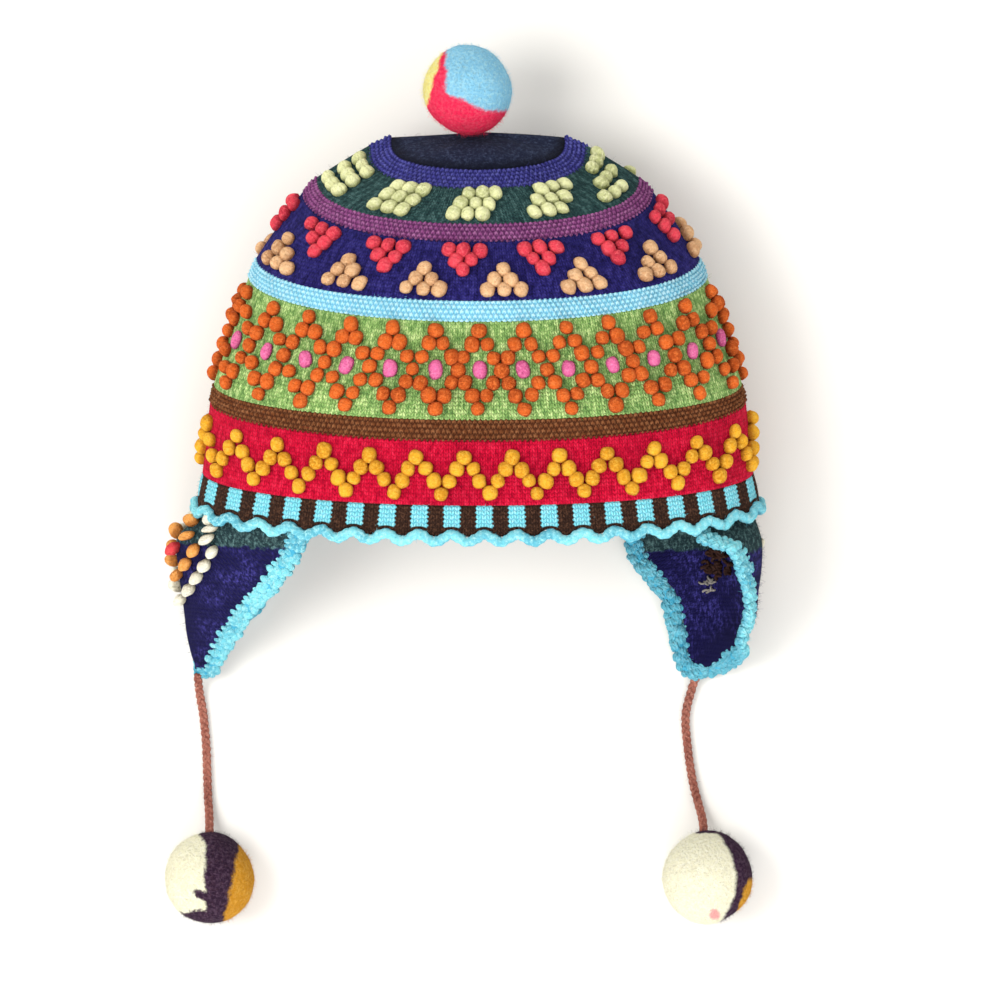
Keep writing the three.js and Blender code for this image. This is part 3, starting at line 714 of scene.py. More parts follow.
# %% [markdown]
# A bobble is a knot of a few stitches knitted into one. It is modelled once, from a sphere whose sides are
# drawn in between four strands, and then copied to every place that its chart shows. The copies go into one
# mesh for each band, each a little turned, squashed and resized, because no two are alike. Blender lists the
# faces of a UV sphere in another order on every run, so they are sorted, or the fibres would grow elsewhere.
# %% One knot and its copies
KNOT_STRANDS = 4
KNOT_GROOVE = 0.06
KNOT_SQUARENESS = 2.5
KNOT_UNEVEN = 0.03
chance = np.random.default_rng(7)


def from_lowest(face):
    """The same face, its corners listed from the one with the lowest number."""
    first = face.index(min(face))
    return face[first:] + face[:first]


def model_knot():
    """The corners and faces of one bobble of radius 1, its poles on the second axis."""
    bpy.ops.object.select_all(action="DESELECT")
    bpy.ops.mesh.primitive_uv_sphere_add(segments=12, ring_count=9, radius=1)
    knot = bpy.context.object
    ball = corners(knot)
    turn = np.arctan2(ball[:, 1], ball[:, 0])
    round_part = np.sqrt(np.clip(1 - ball[:, 2] ** 2, 0, 1))
    ball = ball * (1 + KNOT_GROOVE * np.cos(KNOT_STRANDS * turn) * round_part)[:, None]
    facing = np.arctan2(ball[:, 2], ball[:, 0])
    corner = np.abs(np.cos(facing)) ** KNOT_SQUARENESS + np.abs(np.sin(facing)) ** KNOT_SQUARENESS
    ball[:, [0, 2]] = ball[:, [0, 2]] * corner[:, None] ** (-1 / KNOT_SQUARENESS)
    faces = sorted(from_lowest(tuple(polygon.vertices)) for polygon in knot.data.polygons)
    bpy.data.objects.remove(knot)
    return ball[:, [0, 2, 1]] * [1, 1, -1], faces


KNOT, KNOT_FACES = model_knot()
print("faces of a knot:", len(KNOT_FACES))


def copies(name, spots):
    """One mesh from many knots. A spot has a place, three ways and three radii. No two are quite alike, and
    the table presses those under the hat flat."""
    points = []
    for place, across, down, out, radii, _ in spots:
        waves = np.sin(KNOT @ chance.normal(size=(3, 3)) * 2.2 + chance.uniform(0, 6, 3))
        bulge = 1 + KNOT_UNEVEN * waves.sum(axis=1, keepdims=True)
        points.append(place + (KNOT * bulge * radii) @ np.array([across, down, out]))
    faces = [tuple(int(i) + k * len(KNOT) for i in face) for k in range(len(spots)) for face in KNOT_FACES]
    points = np.concatenate(points) + HAT_SHIFT
    points[:, 2] = np.maximum(points[:, 2], ON_TABLE)
    piece = piece_from(name, points, faces)
    write_uv(piece, np.tile(KNOT[:, 1:], (len(spots), 1)))
    return piece


def knot_spot(place, across, down, out, radius, letter, lift=0.4):
    """A bobble's spot, a little turned and resized by chance."""
    turn = chance.uniform(-0.3, 0.3)
    turned_across = across * np.cos(turn) + down * np.sin(turn)
    turned_down = down * np.cos(turn) - across * np.sin(turn)
    size = radius * chance.uniform(0.92, 1.08) * np.array([1, chance.uniform(0.94, 1.08), 1])
    return place + out * radius[2] * lift, turned_across, turned_down, out, size, letter


# %% [markdown]
# The bands' bobbles follow the charts. The hat widens towards the rim, so columns of bobbles would lean
# outwards at the sides. FLARE_HELD draws most of that back, as the real pattern runs nearly straight down.
# %% Bobbles on the bands
def bobble_piece(name, spots, nodes, slot):
    letters = sorted({spot[5] for spot in spots})
    piece = copies(name, spots)
    finish_piece(piece, nodes, slot, *[bobble_finishes[letter] for letter in letters])
    looks = np.repeat([letters.index(spot[5]) for spot in spots], len(KNOT_FACES))
    piece.data.polygons.foreach_set("material_index", looks)
    grow_fibres(piece, "bobble", len(spots))


def band_spots(name):
    chart_name, repeats, spacing, middle, turned = PATTERNS[name]
    chart = CHARTS[chart_name]
    first, last = BANDS[name][:2]
    top, bottom = ROUNDS["down"][first] + 0.3, ROUNDS["down"][last] - 0.3
    repeat = len(chart[0])
    count = repeats * repeat
    length = round_length((top + bottom) / 2)[-1]
    parts = (np.arange(count) / count + turned / length) % 1
    spots = []
    for k, row in enumerate(chart):
        down = top + (bottom - top) * middle + (k - (len(chart) - 1) / 2) * spacing
        held = FLARE_HELD * (length / round_length(down)[-1] - 1) * np.sin(2 * np.pi * parts) / (2 * np.pi)
        angles = even_angles((top + bottom) / 2, parts + held)
        for i in [i for i in range(count) if row[i % repeat] != "."]:
            angle = angles[i] + chance.uniform(-0.005, 0.005)
            spot_down = down + chance.uniform(-0.35, 0.35)
            across, along, out = ways(hat_face, np.array([angle]), np.array([spot_down]), 0.02, 0.5)
            place = hat_face(np.array([angle]), np.array([spot_down]))[0]
            letter = row[i % repeat]
            radius = BOBBLE_RADIUS * np.array([0.95, 1.25, 0.7] if letter == "K" else [1, 1.04, 1.05])
            spots.append(knot_spot(place, across[0], along[0], out[0], radius, letter))
    return spots


for name in PATTERNS:
    bobble_piece(f"{name}_bobbles", band_spots(name), [name], BANDS[name][2])

# %% [markdown]
# The rim is knitted in blocks of brown and sky blue, and its lower edge runs in waves: low under a brown
# block and high under a blue one. The blocks are drawn by the material from the UV map, whose first number
# counts stitches, six to a wave. A blue block stops a little above the edge, where a brown row shows.
# %% Striped border
RIM_WAVES = 40
RIM_WAVE = 1.6
BORDER_STEP = 0.8
BORDER_PUFF = 0.5
WAVE_STITCHES = 6
rim_round = round_length(RIM)[-1]
RIM_TURN = 2.9 / rim_round
SKY_BLOCK_GAP = 1.2
border_top = ROUNDS["down"][-2]
SKY_MAIN, SKY_LIGHT, SKY_DARK = rgb(118, 208, 222), rgb(182, 230, 240), rgb(42, 140, 180)


def rim_wave(across):
    return np.cos(2 * np.pi * RIM_WAVES * (across - RIM_TURN))


def rim_down(across):
    return RIM - RIM_WAVE * rim_wave(across)


def border_down(across, along):
    return border_top + (rim_down(across) - border_top) * along


def border_place(across, along):
    puff = BORDER_PUFF * np.sin(np.pi * np.clip(along * 1.1, 0, 1)) * np.abs(rim_wave(across)) ** 0.5
    return hat_point(even_angles(RIM, across + AT_BACK), border_down(across, along), puff)


def border_stitches(across, along):
    return (across - RIM_TURN) * RIM_WAVES * WAVE_STITCHES, -border_down(across, along) / ROW


def border_material():
    finish = Finish("border_knit")
    across, down, _ = finish.axes(finish.uv)
    height = stitch_height(finish)
    ragged = (finish.noise(420, 2) - 0.5) * 0.5 + down.wave() * 0.14
    wave = (across / WAVE_STITCHES + 0.25).wave()
    end = (RIM - SKY_BLOCK_GAP) / ROW - (wave * 0.5 + 0.5) * (RIM_WAVE / ROW)
    above_edge = (down + end + ragged * 0.3).step(-0.12, 0.12)
    sky = (wave + ragged).step(-0.12, 0.06) * above_edge
    speck = finish.noise(800, 4, 0.7).step(0.45, 0.65)
    brown = finish.mix(speck * 0.8, rgb(48, 30, 22), rgb(92, 62, 46))
    blue = finish.mix(speck * 0.6, SKY_MAIN, SKY_LIGHT)
    colour = finish.mix(sky, brown, blue)
    # painted shade in the grooves between stitches, brown under a brown block and blue under a blue one
    painted_groove_shade = finish.mix(sky, rgb(22, 11, 10), SKY_DARK)
    colour = finish.mix((1 - height).step(0.3, 1.0) * 0.55, colour, painted_groove_shade)
    fibre = finish.noise(2400, 3, 0.7)
    return finish.wear(colour, height * 1.0 + fibre * 0.5, 0.9, fibre * 0.2 + 0.75)


border = lay_grid("striped_border_knit", round(rim_round / BORDER_STEP), 14, border_place, border_stitches)
solid_wall(border)
finish_piece(border, ["striped_border"], "border_knit", border_material())
grow_fibres(border, "border")

# %% [markdown]
# A crocheted cord follows the wavy edge. It is a tube along the edge whose thickness swells and shrinks
# in a slant, once for each crochet stitch. A tube is a grid too: one way runs along the edge and the
# other one round the tube.
# %% Scalloped edge
EDGE_RADIUS = 2.2
EDGE_STITCH = 3.1
EDGE_SIDES = 12
EDGE_STEP = 0.65
WAVES_LENGTHEN = 1.12
edge_length = rim_round * WAVES_LENGTHEN


def edge_middle(across):
    down = rim_down(across) + 0.3 + EDGE_RADIUS * 0.9
    return hat_point(even_angles(RIM, across + AT_BACK), down, np.full(across.shape, 0.3))


def edge_place(across, along):
    turn = 2 * np.pi * along
    swell = 1 + 0.09 * np.cos(2 * np.pi * across * round(edge_length / EDGE_STITCH) + turn)
    swell += 0.06 * np.sin(across * 431 + 2 * turn) + 0.05 * np.sin(across * 713 + turn)
    reach = (EDGE_RADIUS * swell)[:, None]
    forward = unit(edge_middle(across + 0.0004) - edge_middle(across - 0.0004))
    out = ways(hat_face, even_angles(RIM, across + AT_BACK), rim_down(across), 0.02, 0.5)[2]
    side = np.cross(forward, out)
    return edge_middle(across) + out * reach * np.sin(turn)[:, None] - side * reach * np.cos(turn)[:, None]


def edge_stitches(across, along):
    return across, np.sin(2 * np.pi * along)


edge = lay_grid("scalloped_edge_cord", round(edge_length / EDGE_STEP), EDGE_SIDES, edge_place, edge_stitches)
# the last number, 0.45, is painted shade on the cord's side against the hat and at the foot of each edging
# loop
crochet = yarn("sky_crochet", rgb(138, 232, 243), rgb(206, 250, 252), SKY_DARK, 0.6, 0.28, 0.45)
finish_piece(edge, ["scalloped_edge"], "sky_crochet", crochet)
grow_fibres(edge, "edge")

# %% [markdown]
# The crown is closed by a dark felted disc. It is folded over a ridge, because the hat lies flat, and both
# halves bulge softly. The disc is a grid from its middle to its edge, bent the same way as the solid.
# %% Crown
CROWN_MIDDLE = np.array([0, 0.5, 38.4])
CROWN_BULGE = 3.2
CROWN_RIPPLE = 0.25
BULGE_WAY = (0.87, 0.49)


def crown_face(angle, part):
    edge_line = hat_face(angle, np.full(np.shape(angle), -0.3))
    facing = np.cos(angle)
    point = CROWN_MIDDLE + (edge_line - CROWN_MIDDLE) * np.reshape(part, (-1, 1))
    bulge = CROWN_BULGE * 6.75 * part**2 * (1 - part) * np.abs(facing)
    return point + np.stack([0 * bulge, BULGE_WAY[0] * bulge, BULGE_WAY[1] * bulge * np.sign(facing)], 1)


def crown_place(across, along):
    ripple = CROWN_RIPPLE * np.sin(9 * across * 2 * np.pi) * np.sin(np.pi * along)
    return crown_face(across * 2 * np.pi, 0.004 + 0.996 * along) + np.stack([0 * ripple, ripple, ripple], 1)


crown = lay_grid("crown_top_felt", 90, 20, crown_place, lambda across, along: (across * 60, along * 18))
solid_wall(crown)


def crown_material():
    """Dark felted wool with grey flecks, with painted shade in the crease along its edge."""
    finish = Finish("charcoal_knit")
    _, down, _ = finish.axes(finish.uv)
    fleck = finish.noise(620, 5, 0.8)
    colour = finish.mix(fleck.step(0.45, 0.75) * 0.75, rgb(24, 30, 52), rgb(76, 88, 118))
    # painted shade in the crease along the disc's edge
    colour = finish.mix(down.step(14.5, 18) * 0.85, colour, rgb(8, 9, 22))
    fibre = finish.noise(2200, 4, 0.75)
    return finish.wear(colour, fleck * 0.7 + fibre * 0.5, 0.9, fibre * 0.2 + 0.78)


finish_piece(crown, ["crown_top"], "charcoal_knit", crown_material())
grow_fibres(crown, "crown")

# %% [markdown]
# An ear flap is a triangle of knitting, sewn inside the rim and narrowing to a tip. It is bent round the
# hat's side fold. A table gives, at some distances past the rim, the places of its front edge, its fold
# and its back edge, and a curve through those three gives each line across.
# %% Ear flap faces
FLAP_INSET = WALL + 1.2
FLAP_SLUMP = 0.35
FLAPS = {
    "left": {
        "sewn": [(-5.5, -39, -145), (4.5, -41, -144)],
        "drop": [15, 26, 39, 53, 63, 70],
        "front": [(-83.6, -181.3, 72), (-92.6, -194.5, 58), (-104.7, -207.7, 40), (-113.5, -220.3, 26),
                  (-118.2, -229.5, 15), (-121, -236.2, 10)],
        "fold": [(-132, -178, 41), (-132, -191, 32), (-130.5, -205.5, 22), (-128.7, -219, 16),
                 (-126.3, -229.3, 11.5), (-123.6, -236.6, 8.6)],
        "back": [(-86, -181.3, 7), (-96, -194.5, 6.5), (-104, -207.7, 6), (-121, -219.5, 7),
                 (-125.5, -229, 7.7), (-125.4, -236.2, 6.6)],
    },
    "right": {
        "sewn": [(-5.5, 52, 152), (4.5, 55, 151.5)],
        "drop": [15, 26, 39, 53, 63, 70, 73],
        "front": [(114.5, -181.3, 70), (119.8, -191, 61), (121.6, -203, 49), (120.8, -215.5, 35),
                  (115.5, -225, 18), (107.5, -231.2, 9), (102, -234.2, 6.2)],
        "fold": [(124, -178, 43), (123.4, -189, 36), (121.4, -201.5, 28), (119.2, -214.5, 19),
                 (108.5, -225, 11), (101.5, -231.5, 7), (97.2, -234.8, 5.8)],
        "back": [(72.8, -181.3, 7.5), (78, -190.5, 7), (87.5, -201.5, 6.5), (91, -214.3, 6),
                 (92.4, -225, 5.6), (93.6, -231, 5.3), (94, -234.2, 5.2)],
    },
}


def flap_face(flap, across, drop):
    """Points of a flap's outer face. across is 0 to 1 with growing angle and drop is the way past the rim."""
    (_, front, back), _ = flap["sewn"]
    rightwards = front > 0
    start, end = (front, back) if rightwards else (back, front)
    fold = (np.sign(front) * 90 - start) / (end - start)
    table = []
    for row_drop, row_front, row_back in flap["sewn"]:
        first, last = (row_front, row_back) if rightwards else (row_back, row_front)
        angle = np.radians(first + (last - first) * across)
        inset = np.full(angle.shape, -FLAP_INSET)
        table.append(hat_point(angle, np.full(angle.shape, RIM + row_drop), inset))
    shares = [(across - fold) * (across - 1) / fold, across * (1 - across) / (fold * (1 - fold)),
              across * (across - fold) / (1 - fold)]
    to_back = (across - fold) / (1 - fold) if rightwards else (fold - across) / fold
    sunk = np.where(to_back > 0, FLAP_SLUMP * 6.75 * (1 - to_back) * to_back**2, 0)
    for row_front, row_fold, row_back in zip(flap["front"], flap["fold"], flap["back"]):
        ends = (row_front, row_back) if rightwards else (row_back, row_front)
        point = sum(share[:, None] * np.array(place, float)
                    for share, place in zip(shares, (ends[0], row_fold, ends[1])))
        point[:, 2] -= (point[:, 2] - row_back[2]) * sunk
        table.append(point)
    drops = [row[0] for row in flap["sewn"]] + flap["drop"]
    return smooth_value(drops, np.array(table), drop)


def flap_ways(flap, across, drop):
    return ways(lambda first, second: flap_face(flap, first, second), across, drop, 0.01, 0.5)


def from_fold(flap, drop, away):
    """The place across a flap that lies some millimetres before or behind its outermost line. Those before
    it are measured as seen from above, the others along the knitting."""
    samples = np.linspace(0, 1, 181)
    facing = 1 if flap["sewn"][0][1] > 0 else -1
    places = []
    for one_drop, one_away in zip(drop, away):
        line = flap_face(flap, samples, np.full(181, one_drop))[::facing]
        fold = int(np.argmax(line[:, 0] * facing))
        lengths = np.concatenate([[0], np.cumsum(np.linalg.norm(np.diff(line, axis=0), axis=1))])
        inwards = (line[fold, 0] - line[: fold + 1, 0])[::-1] * facing
        if one_away > 0:
            place = fold - np.interp(one_away, np.maximum.accumulate(inwards), np.arange(fold + 1))
        else:
            place = np.interp(lengths[fold] - one_away, lengths, np.arange(181))
        places.append(place / 180 if facing > 0 else 1 - place / 180)
    return np.array(places)


# %% [markdown]
# Each flap is dark green next to the rim and navy below. The change is at one height in the UV map, with a
# ragged line, as where one yarn takes over from another.
# %% Ear flaps
FLAP_COLUMNS = 60
FLAP_ROWS = 64
FLAP_STITCHES = 50
STITCHES_LOST = 0.75
FLAP_WALL = 2.2
GREEN_END = {"left": 17, "right": 19}


def flap_material(side):
    finish = Finish(f"flap_knit_{side}")
    _, down, _ = finish.axes(finish.uv)
    height = stitch_height(finish)
    ragged = (finish.noise(260, 2) - 0.5) * 3
    green_end = GREEN_END[side] / ROW
    navy_part = (down * -1 + ragged).step(green_end - 0.4, green_end + 0.4)
    drawn = finish.node("ShaderNodeMapping", {}, Vector=finish.place, Scale=(900, 330, 500)).outputs[0]
    streaks = finish.noise(1.0, 4, 0.75, drawn)
    patches = finish.noise(60, 3).step(0.38, 0.62)
    green = finish.mix(streaks.step(0.45, 0.65), rgb(27, 48, 52), rgb(80, 110, 110))
    navy = finish.mix(streaks.step(0.45, 0.65) * patches, rgb(17, 15, 60), rgb(62, 58, 134))
    colour = finish.mix(navy_part, green, navy)
    # painted shade between the stitches, where the yarn dips
    colour = finish.mix((1 - height).step(0.3, 1.0) * 0.4, colour, rgb(7, 6, 26))
    fibre = finish.noise(2600, 3, 0.7)
    return finish.wear(colour, height * 0.6 + streaks * 0.6 + fibre * 0.4, 0.8, fibre * 0.25 + 0.72)


def flap_maps(flap):
    """Where a flap's corners go, and which stitch each of them is. The stitches run out towards the tip."""
    first, last = flap["sewn"][0][0], flap["drop"][-1]

    def place(across, along):
        return flap_face(flap, across, first + (last - first) * along)

    def stitches(across, along):
        return across * FLAP_STITCHES * (1 - STITCHES_LOST * along), -(first + (last - first) * along) / ROW

    return place, stitches


for side, flap in FLAPS.items():
    body = lay_grid(f"ear_flap_{side}_knit", FLAP_COLUMNS, FLAP_ROWS, *flap_maps(flap), closed=False)
    solid_wall(body, FLAP_WALL)
    finish_piece(body, [f"ear_flap_{side}"], "flap_knit", flap_material(side))
    grow_fibres(body, "flap")

# %% [markdown]
# The bobble diamond on a flap has a cream border, apricot inside it and a red middle. Its rows are set
# along the flap and its columns from the centre line, both in millimetres along the knitting.
# %% Bobble diamonds
DIAMOND = 4
FLAP_FIRST_ROW = -1.0
FLAP_ROW_SPACING = 4.9
FLAP_STITCH = 4.1
FLAP_RIM = 1.5
DIAMOND_ASIDE = {"left": 1.0, "right": -31.0}
DIAMOND_LETTERS = {4: "W", 2: "A", 0: "R"}

for side, flap in FLAPS.items():
    cells = [(c, k, DIAMOND_LETTERS[abs(c) + abs(k)]) for k in range(-DIAMOND, DIAMOND + 1)
             for c in range(-DIAMOND, DIAMOND + 1) if abs(c) + abs(k) in DIAMOND_LETTERS
             and FLAP_FIRST_ROW + (k + DIAMOND) * FLAP_ROW_SPACING > FLAP_RIM]
    drops = np.array([FLAP_FIRST_ROW + (k + DIAMOND) * FLAP_ROW_SPACING for _, k, _ in cells])
    aside = np.array([c * FLAP_STITCH + DIAMOND_ASIDE[side] for c, _, _ in cells])
    across = from_fold(flap, drops, aside)
    sideways, down, out = flap_ways(flap, across, drops)
    places = flap_face(flap, across, drops)
    radii = BOBBLE_RADIUS * np.array([1, 1.03, 1.12])
    spots = [knot_spot(places[i], sideways[i], down[i], out[i], radii, letter, 0.7)
             for i, (_, _, letter) in enumerate(cells)]
    bobble_piece(f"ear_flap_{side}_bobbles", spots, [f"ear_flap_{side}"], "flap_knit")

# %% [markdown]
# Crocheted edging is a row of fat loops with small points, called picots, on its inner side. A core tube
# runs down one edge of the flap, round the tip and up the other edge. The loops are copies of the bobble's
# knot, set side by side in lanes along the core. A lane's row gives its place across the edging, as a share
# of the reach, its loops' radius and how far they lag behind the first lane's.
# %% Flap edging
TRIM_REACH = 3.3
TRIM_TIP_REACH = {"left": (0.9, 2.6), "right": (2.6, 2.6)}
TRIM_PITCH = 4.0
TRIM_START = 1.0
TRIM_LANES = ((-1.1, 1.75, 0.5), (-0.35, 2.3, 0.0), (0.5, 2.35, 0.5), (0.9, 1.6, 0.1))
NARROWS_OVER = 18
CORE_THICK = 1.5
CORE_WIDE = 0.85


def trim_line(flap, tip_reach):
    """Middle points of the edging and its ways along it, away from the flap and out of the flap's face."""
    tip = flap["drop"][-1]
    edge_drops = np.linspace(TRIM_START, tip, 90)
    turns = np.linspace(0, 1, 24)[1:-1]
    across = np.concatenate([np.zeros(90), turns, np.ones(90)])
    drop = np.concatenate([edge_drops, np.full(len(turns), tip), edge_drops[::-1]])
    turn = across * np.pi
    near_tip = np.clip((drop - tip + NARROWS_OVER) / NARROWS_OVER, 0, 1)
    at_tip = tip_reach[0] + (tip_reach[1] - tip_reach[0]) * across
    reach = TRIM_REACH + (at_tip - TRIM_REACH) * near_tip**2 * (3 - 2 * near_tip)
    _, down, out = flap_ways(flap, across, drop)
    away = np.cross(down, out) * np.cos(turn)[:, None] + down * np.sin(turn)[:, None]
    middle = flap_face(flap, across, drop) - out * WALL / 2 + away * (reach + 0.4)[:, None]
    lengths = np.concatenate([[0], np.cumsum(np.linalg.norm(np.diff(middle, axis=0), axis=1))])
    return lengths, middle, away, out, reach


def along_trim(line, place):
    lengths = line[0]
    middle, away, out = [np.stack([np.interp(place, lengths, part[:, axis]) for axis in range(3)], 1)
                         for part in line[1:4]]
    return middle, unit(away), unit(out), np.interp(place, lengths, line[4])


crochet_core = yarn("sky_crochet_core", rgb(84, 190, 224), SKY_MAIN, SKY_DARK, 0.5, 0.4)


def trim_spots(line):
    total = line[0][-1]
    spots = []
    for k in range(round(total / TRIM_PITCH)):
        for lane, radius, lag in TRIM_LANES:
            place = np.array([(k + lag + chance.uniform(-0.25, 0.25)) * TRIM_PITCH]).clip(0, total)
            middle, away, out, reach = [part[0] for part in along_trim(line, place)]
            radius = radius * min(1, 0.3 + 0.85 * reach / TRIM_REACH) * chance.uniform(0.85, 1.2)
            forward = np.cross(away, out)
            slant = chance.uniform(-0.6, 0.6)
            aside = (lane + chance.uniform(-0.15, 0.15)) * reach
            spot = middle + away * aside + out * chance.uniform(-0.4, 0.7)
            spots.append((spot, unit(forward + away * slant), unit(away - forward * slant), out,
                          radius * np.array([1.0, chance.uniform(0.9, 1.15), 1.0]), "S"))
    return spots


def trim_core_place(line):
    def place(across, along):
        middle, away, out, reach = along_trim(line, across * line[0][-1])
        turn = 2 * np.pi * along
        thick = CORE_THICK * np.sin(turn)
        wide = CORE_WIDE * reach * np.cos(turn)
        return middle + away * wide[:, None] + out * thick[:, None]

    return place


for side, flap in FLAPS.items():
    line = trim_line(flap, TRIM_TIP_REACH[side])
    knots = copies(f"flap_trim_{side}_loops", trim_spots(line))
    finish_piece(knots, [f"flap_trim_{side}"], "sky_crochet", crochet)
    grow_fibres(knots, "edging")
    core = lay_grid(f"flap_trim_{side}_core", 160, 10, trim_core_place(line), lambda a, b: (a, b))
    apply(core, "SUBSURF", levels=1, render_levels=1)
    finish_piece(core, [f"flap_trim_{side}"], "sky_crochet", crochet_core)

# %% [markdown]
# Yarns and cords are tubes: rings of corners set square to a line of points, with a face over each end.
# Blender's curves could do it too, but a mesh made here keeps the number of faces in hand.
# %% Tubes
def line_ways(line):
    """The ways along a line of points, level across it and upwards."""
    forward = unit(np.gradient(line, axis=0))
    sideways = unit(np.cross(forward, [0.05, 0.1, 1]))
    return forward, sideways, np.cross(sideways, forward)


def tube_mesh(name, lines, radius, sides=8):
    """One mesh of closed tubes along lines of points."""
    points, faces = [], []
    turn = np.linspace(0, 2 * np.pi, sides, endpoint=False)
    for line in lines:
        _, sideways, upward = line_ways(line)
        first = sum(len(part) for part in points)
        ring = np.cos(turn)[:, None] * sideways[:, None] + np.sin(turn)[:, None] * upward[:, None]
        points.append((line[:, None] + ring * radius).reshape(-1, 3))
        for base in range(first, first + (len(line) - 1) * sides, sides):
            faces += [(base + i, base + (i + 1) % sides, base + sides + (i + 1) % sides, base + sides + i)
                      for i in range(sides)]
        faces.append(tuple(first + i for i in reversed(range(sides))))
        faces.append(tuple(first + (len(line) - 1) * sides + i for i in range(sides)))
    piece = piece_from(name, np.concatenate(points), faces)
    only(piece)
    bpy.ops.object.mode_set(mode="EDIT")
    bpy.ops.mesh.select_all(action="SELECT")
    bpy.ops.mesh.normals_make_consistent(inside=False)
    bpy.ops.object.mode_set(mode="OBJECT")
    return piece


# %% [markdown]
# Where a pattern has many colours, the yarns that wait for their turn hang behind the knitting in loose
# loops. Inside the right flap some show beside the fold: a patch of dark brown ones and a few pale grey
# ends. Each is a short tube that arches over the inner face, at a place picked by chance in an oval. A row
# gives their number, the oval's middle and reach, the yarn's radius and its colours.
# %% Loose yarns inside the right flap
LOOSE_YARNS = {
    "brown_floats": (38, (107.5, -188), (6.5, 6.2), 0.75,
                     rgb(62, 36, 30), rgb(108, 74, 60), rgb(22, 10, 10)),
    "grey_floats": (9, (102.5, -197.5), (2.4, 5.5), 0.45,
                    rgb(176, 170, 162), rgb(220, 214, 204), rgb(90, 84, 82)),
}
FLOAT_CLEARANCE = 2.6


def float_lines(flap, count, middle, reach):
    """Short arches over the inner face, whose places are chosen as they show from above."""
    across, drop = np.meshgrid(np.linspace(0.3, 0.95, 90), np.linspace(8, 60, 90))
    across, drop = across.ravel(), drop.ravel()
    face = flap_face(flap, across, drop)
    out = flap_ways(flap, across, drop)[2]
    inside = ((face[:, :2] - middle) / reach) ** 2
    near = np.flatnonzero((inside.sum(axis=1) < 1) & (out[:, 2] < 0.2))
    lines = []
    for k in chance.choice(near, count):
        way = unit(np.cross(out[k], [chance.normal() * 1.2, 1, 0]))
        bend = unit(np.cross(out[k], way)) * chance.uniform(-1.4, 1.4)
        half = chance.uniform(1.2, 2.3)
        t = np.linspace(-1, 1, 9)[:, None]
        lift = FLOAT_CLEARANCE + (1 - t * t) * chance.uniform(0.6, 1.8)
        lines.append(face[k] + way * half * t + bend * t * t - out[k] * lift + HAT_SHIFT)
    return lines


for name, (count, middle, reach, radius, *colours) in LOOSE_YARNS.items():
    loops = tube_mesh(name, float_lines(FLAPS["right"], count, middle, reach), radius, sides=6)
    finish_piece(loops, ["ear_flap_right"], "flap_knit", yarn(name, *colours))

# %% [markdown]
# Each tie is a plaited cord that lies on the table, from a flap's tip to its ball. The whole length shows
# in the photograph, so that is its real length. In a plait of three strands, each strand swings from side
# to side once and up and down twice in the same length. The route's points are those of the solid cord,
# whose ball has flat facets and so rests on the table a little lower than a round one.
# %% Plaited ties
BALL_RADIUS = 20
BALL_HEIGHT = BALL_RADIUS * np.cos(np.pi / 8)
TIE_IN_BALL = 1.0
PLAIT_LENGTH = 8.5
PLAIT_STEPS = 16
PLAIT_SWING = 1.1
PLAIT_RISE = 0.6
STRAND_RADIUS = 0.88
ROUTES = {
    "left": [(-124.2, -238.7, 7.6), (-123.9, -242.2, 6.2), (-123.4, -247.2, 3.3), (-121.9, -256.1, 2.1),
             (-120.6, -269.3, 2.1), (-120.1, -282.5, 2.1), (-119.7, -293.5, 2.3), (-119.1, -302.3, 4.4)],
    "right": [(97, -237.6, 5.6), (96.4, -240.4, 4.6), (94.8, -245, 2.6), (92, -257, 2.1), (93, -272, 2.1),
              (95.2, -286.5, 2.1), (97.6, -296, 2.3), (99.4, -303, 4.6)],
}
tie_yarn = yarn("tie_cord", rgb(188, 117, 99), rgb(220, 162, 143), rgb(102, 45, 40), 0.6, 0.45)


def tie_ball_middle(name):
    middle = middle_of(name)
    middle[2] = BALL_HEIGHT
    return middle


def tie_path(side):
    """Points close together on a smooth curve through the route, in millimetres in the frame."""
    route = np.array(ROUTES[side], float) + TIE_SHIFT
    ball = tie_ball_middle(f"tie_pompom_{side}")
    route = np.vstack([route, ball + unit(route[-1] - ball) * (BALL_RADIUS - TIE_IN_BALL)])
    knots = np.concatenate([[0], np.cumsum(np.sqrt(np.linalg.norm(np.diff(route, axis=0), axis=1)))])
    fine = np.linspace(0, knots[-1], 400)
    curve = np.stack([smooth_value(knots, route[:, axis], fine) for axis in range(3)], 1)
    lengths = np.concatenate([[0], np.cumsum(np.linalg.norm(np.diff(curve, axis=0), axis=1))])
    even = np.linspace(0, lengths[-1], round(lengths[-1] / PLAIT_LENGTH * PLAIT_STEPS))
    return np.stack([np.interp(even, lengths, curve[:, axis]) for axis in range(3)], 1), lengths[-1]


ties = {}
for side in ROUTES:
    path, length = tie_path(side)
    _, sideways, upward = line_ways(path)
    phase = np.linspace(0, 2 * np.pi * length / PLAIT_LENGTH, len(path))
    strands = []
    for strand in range(3):
        swing = phase + strand * 2 * np.pi / 3
        aside, rise = PLAIT_SWING * np.sin(swing), PLAIT_RISE * np.sin(2 * swing)
        strands.append(path + sideways * aside[:, None] + upward * rise[:, None])
    tie = tube_mesh(f"tie_cord_{side}_plait", strands, STRAND_RADIUS)
    finish_piece(tie, [f"tie_cord_{side}"], "tie_cord", tie_yarn)
    grow_fibres(tie, "tie")
    ties[side] = (tie, path, length)
    print(f"the {side} tie is {length:.1f} mm long")

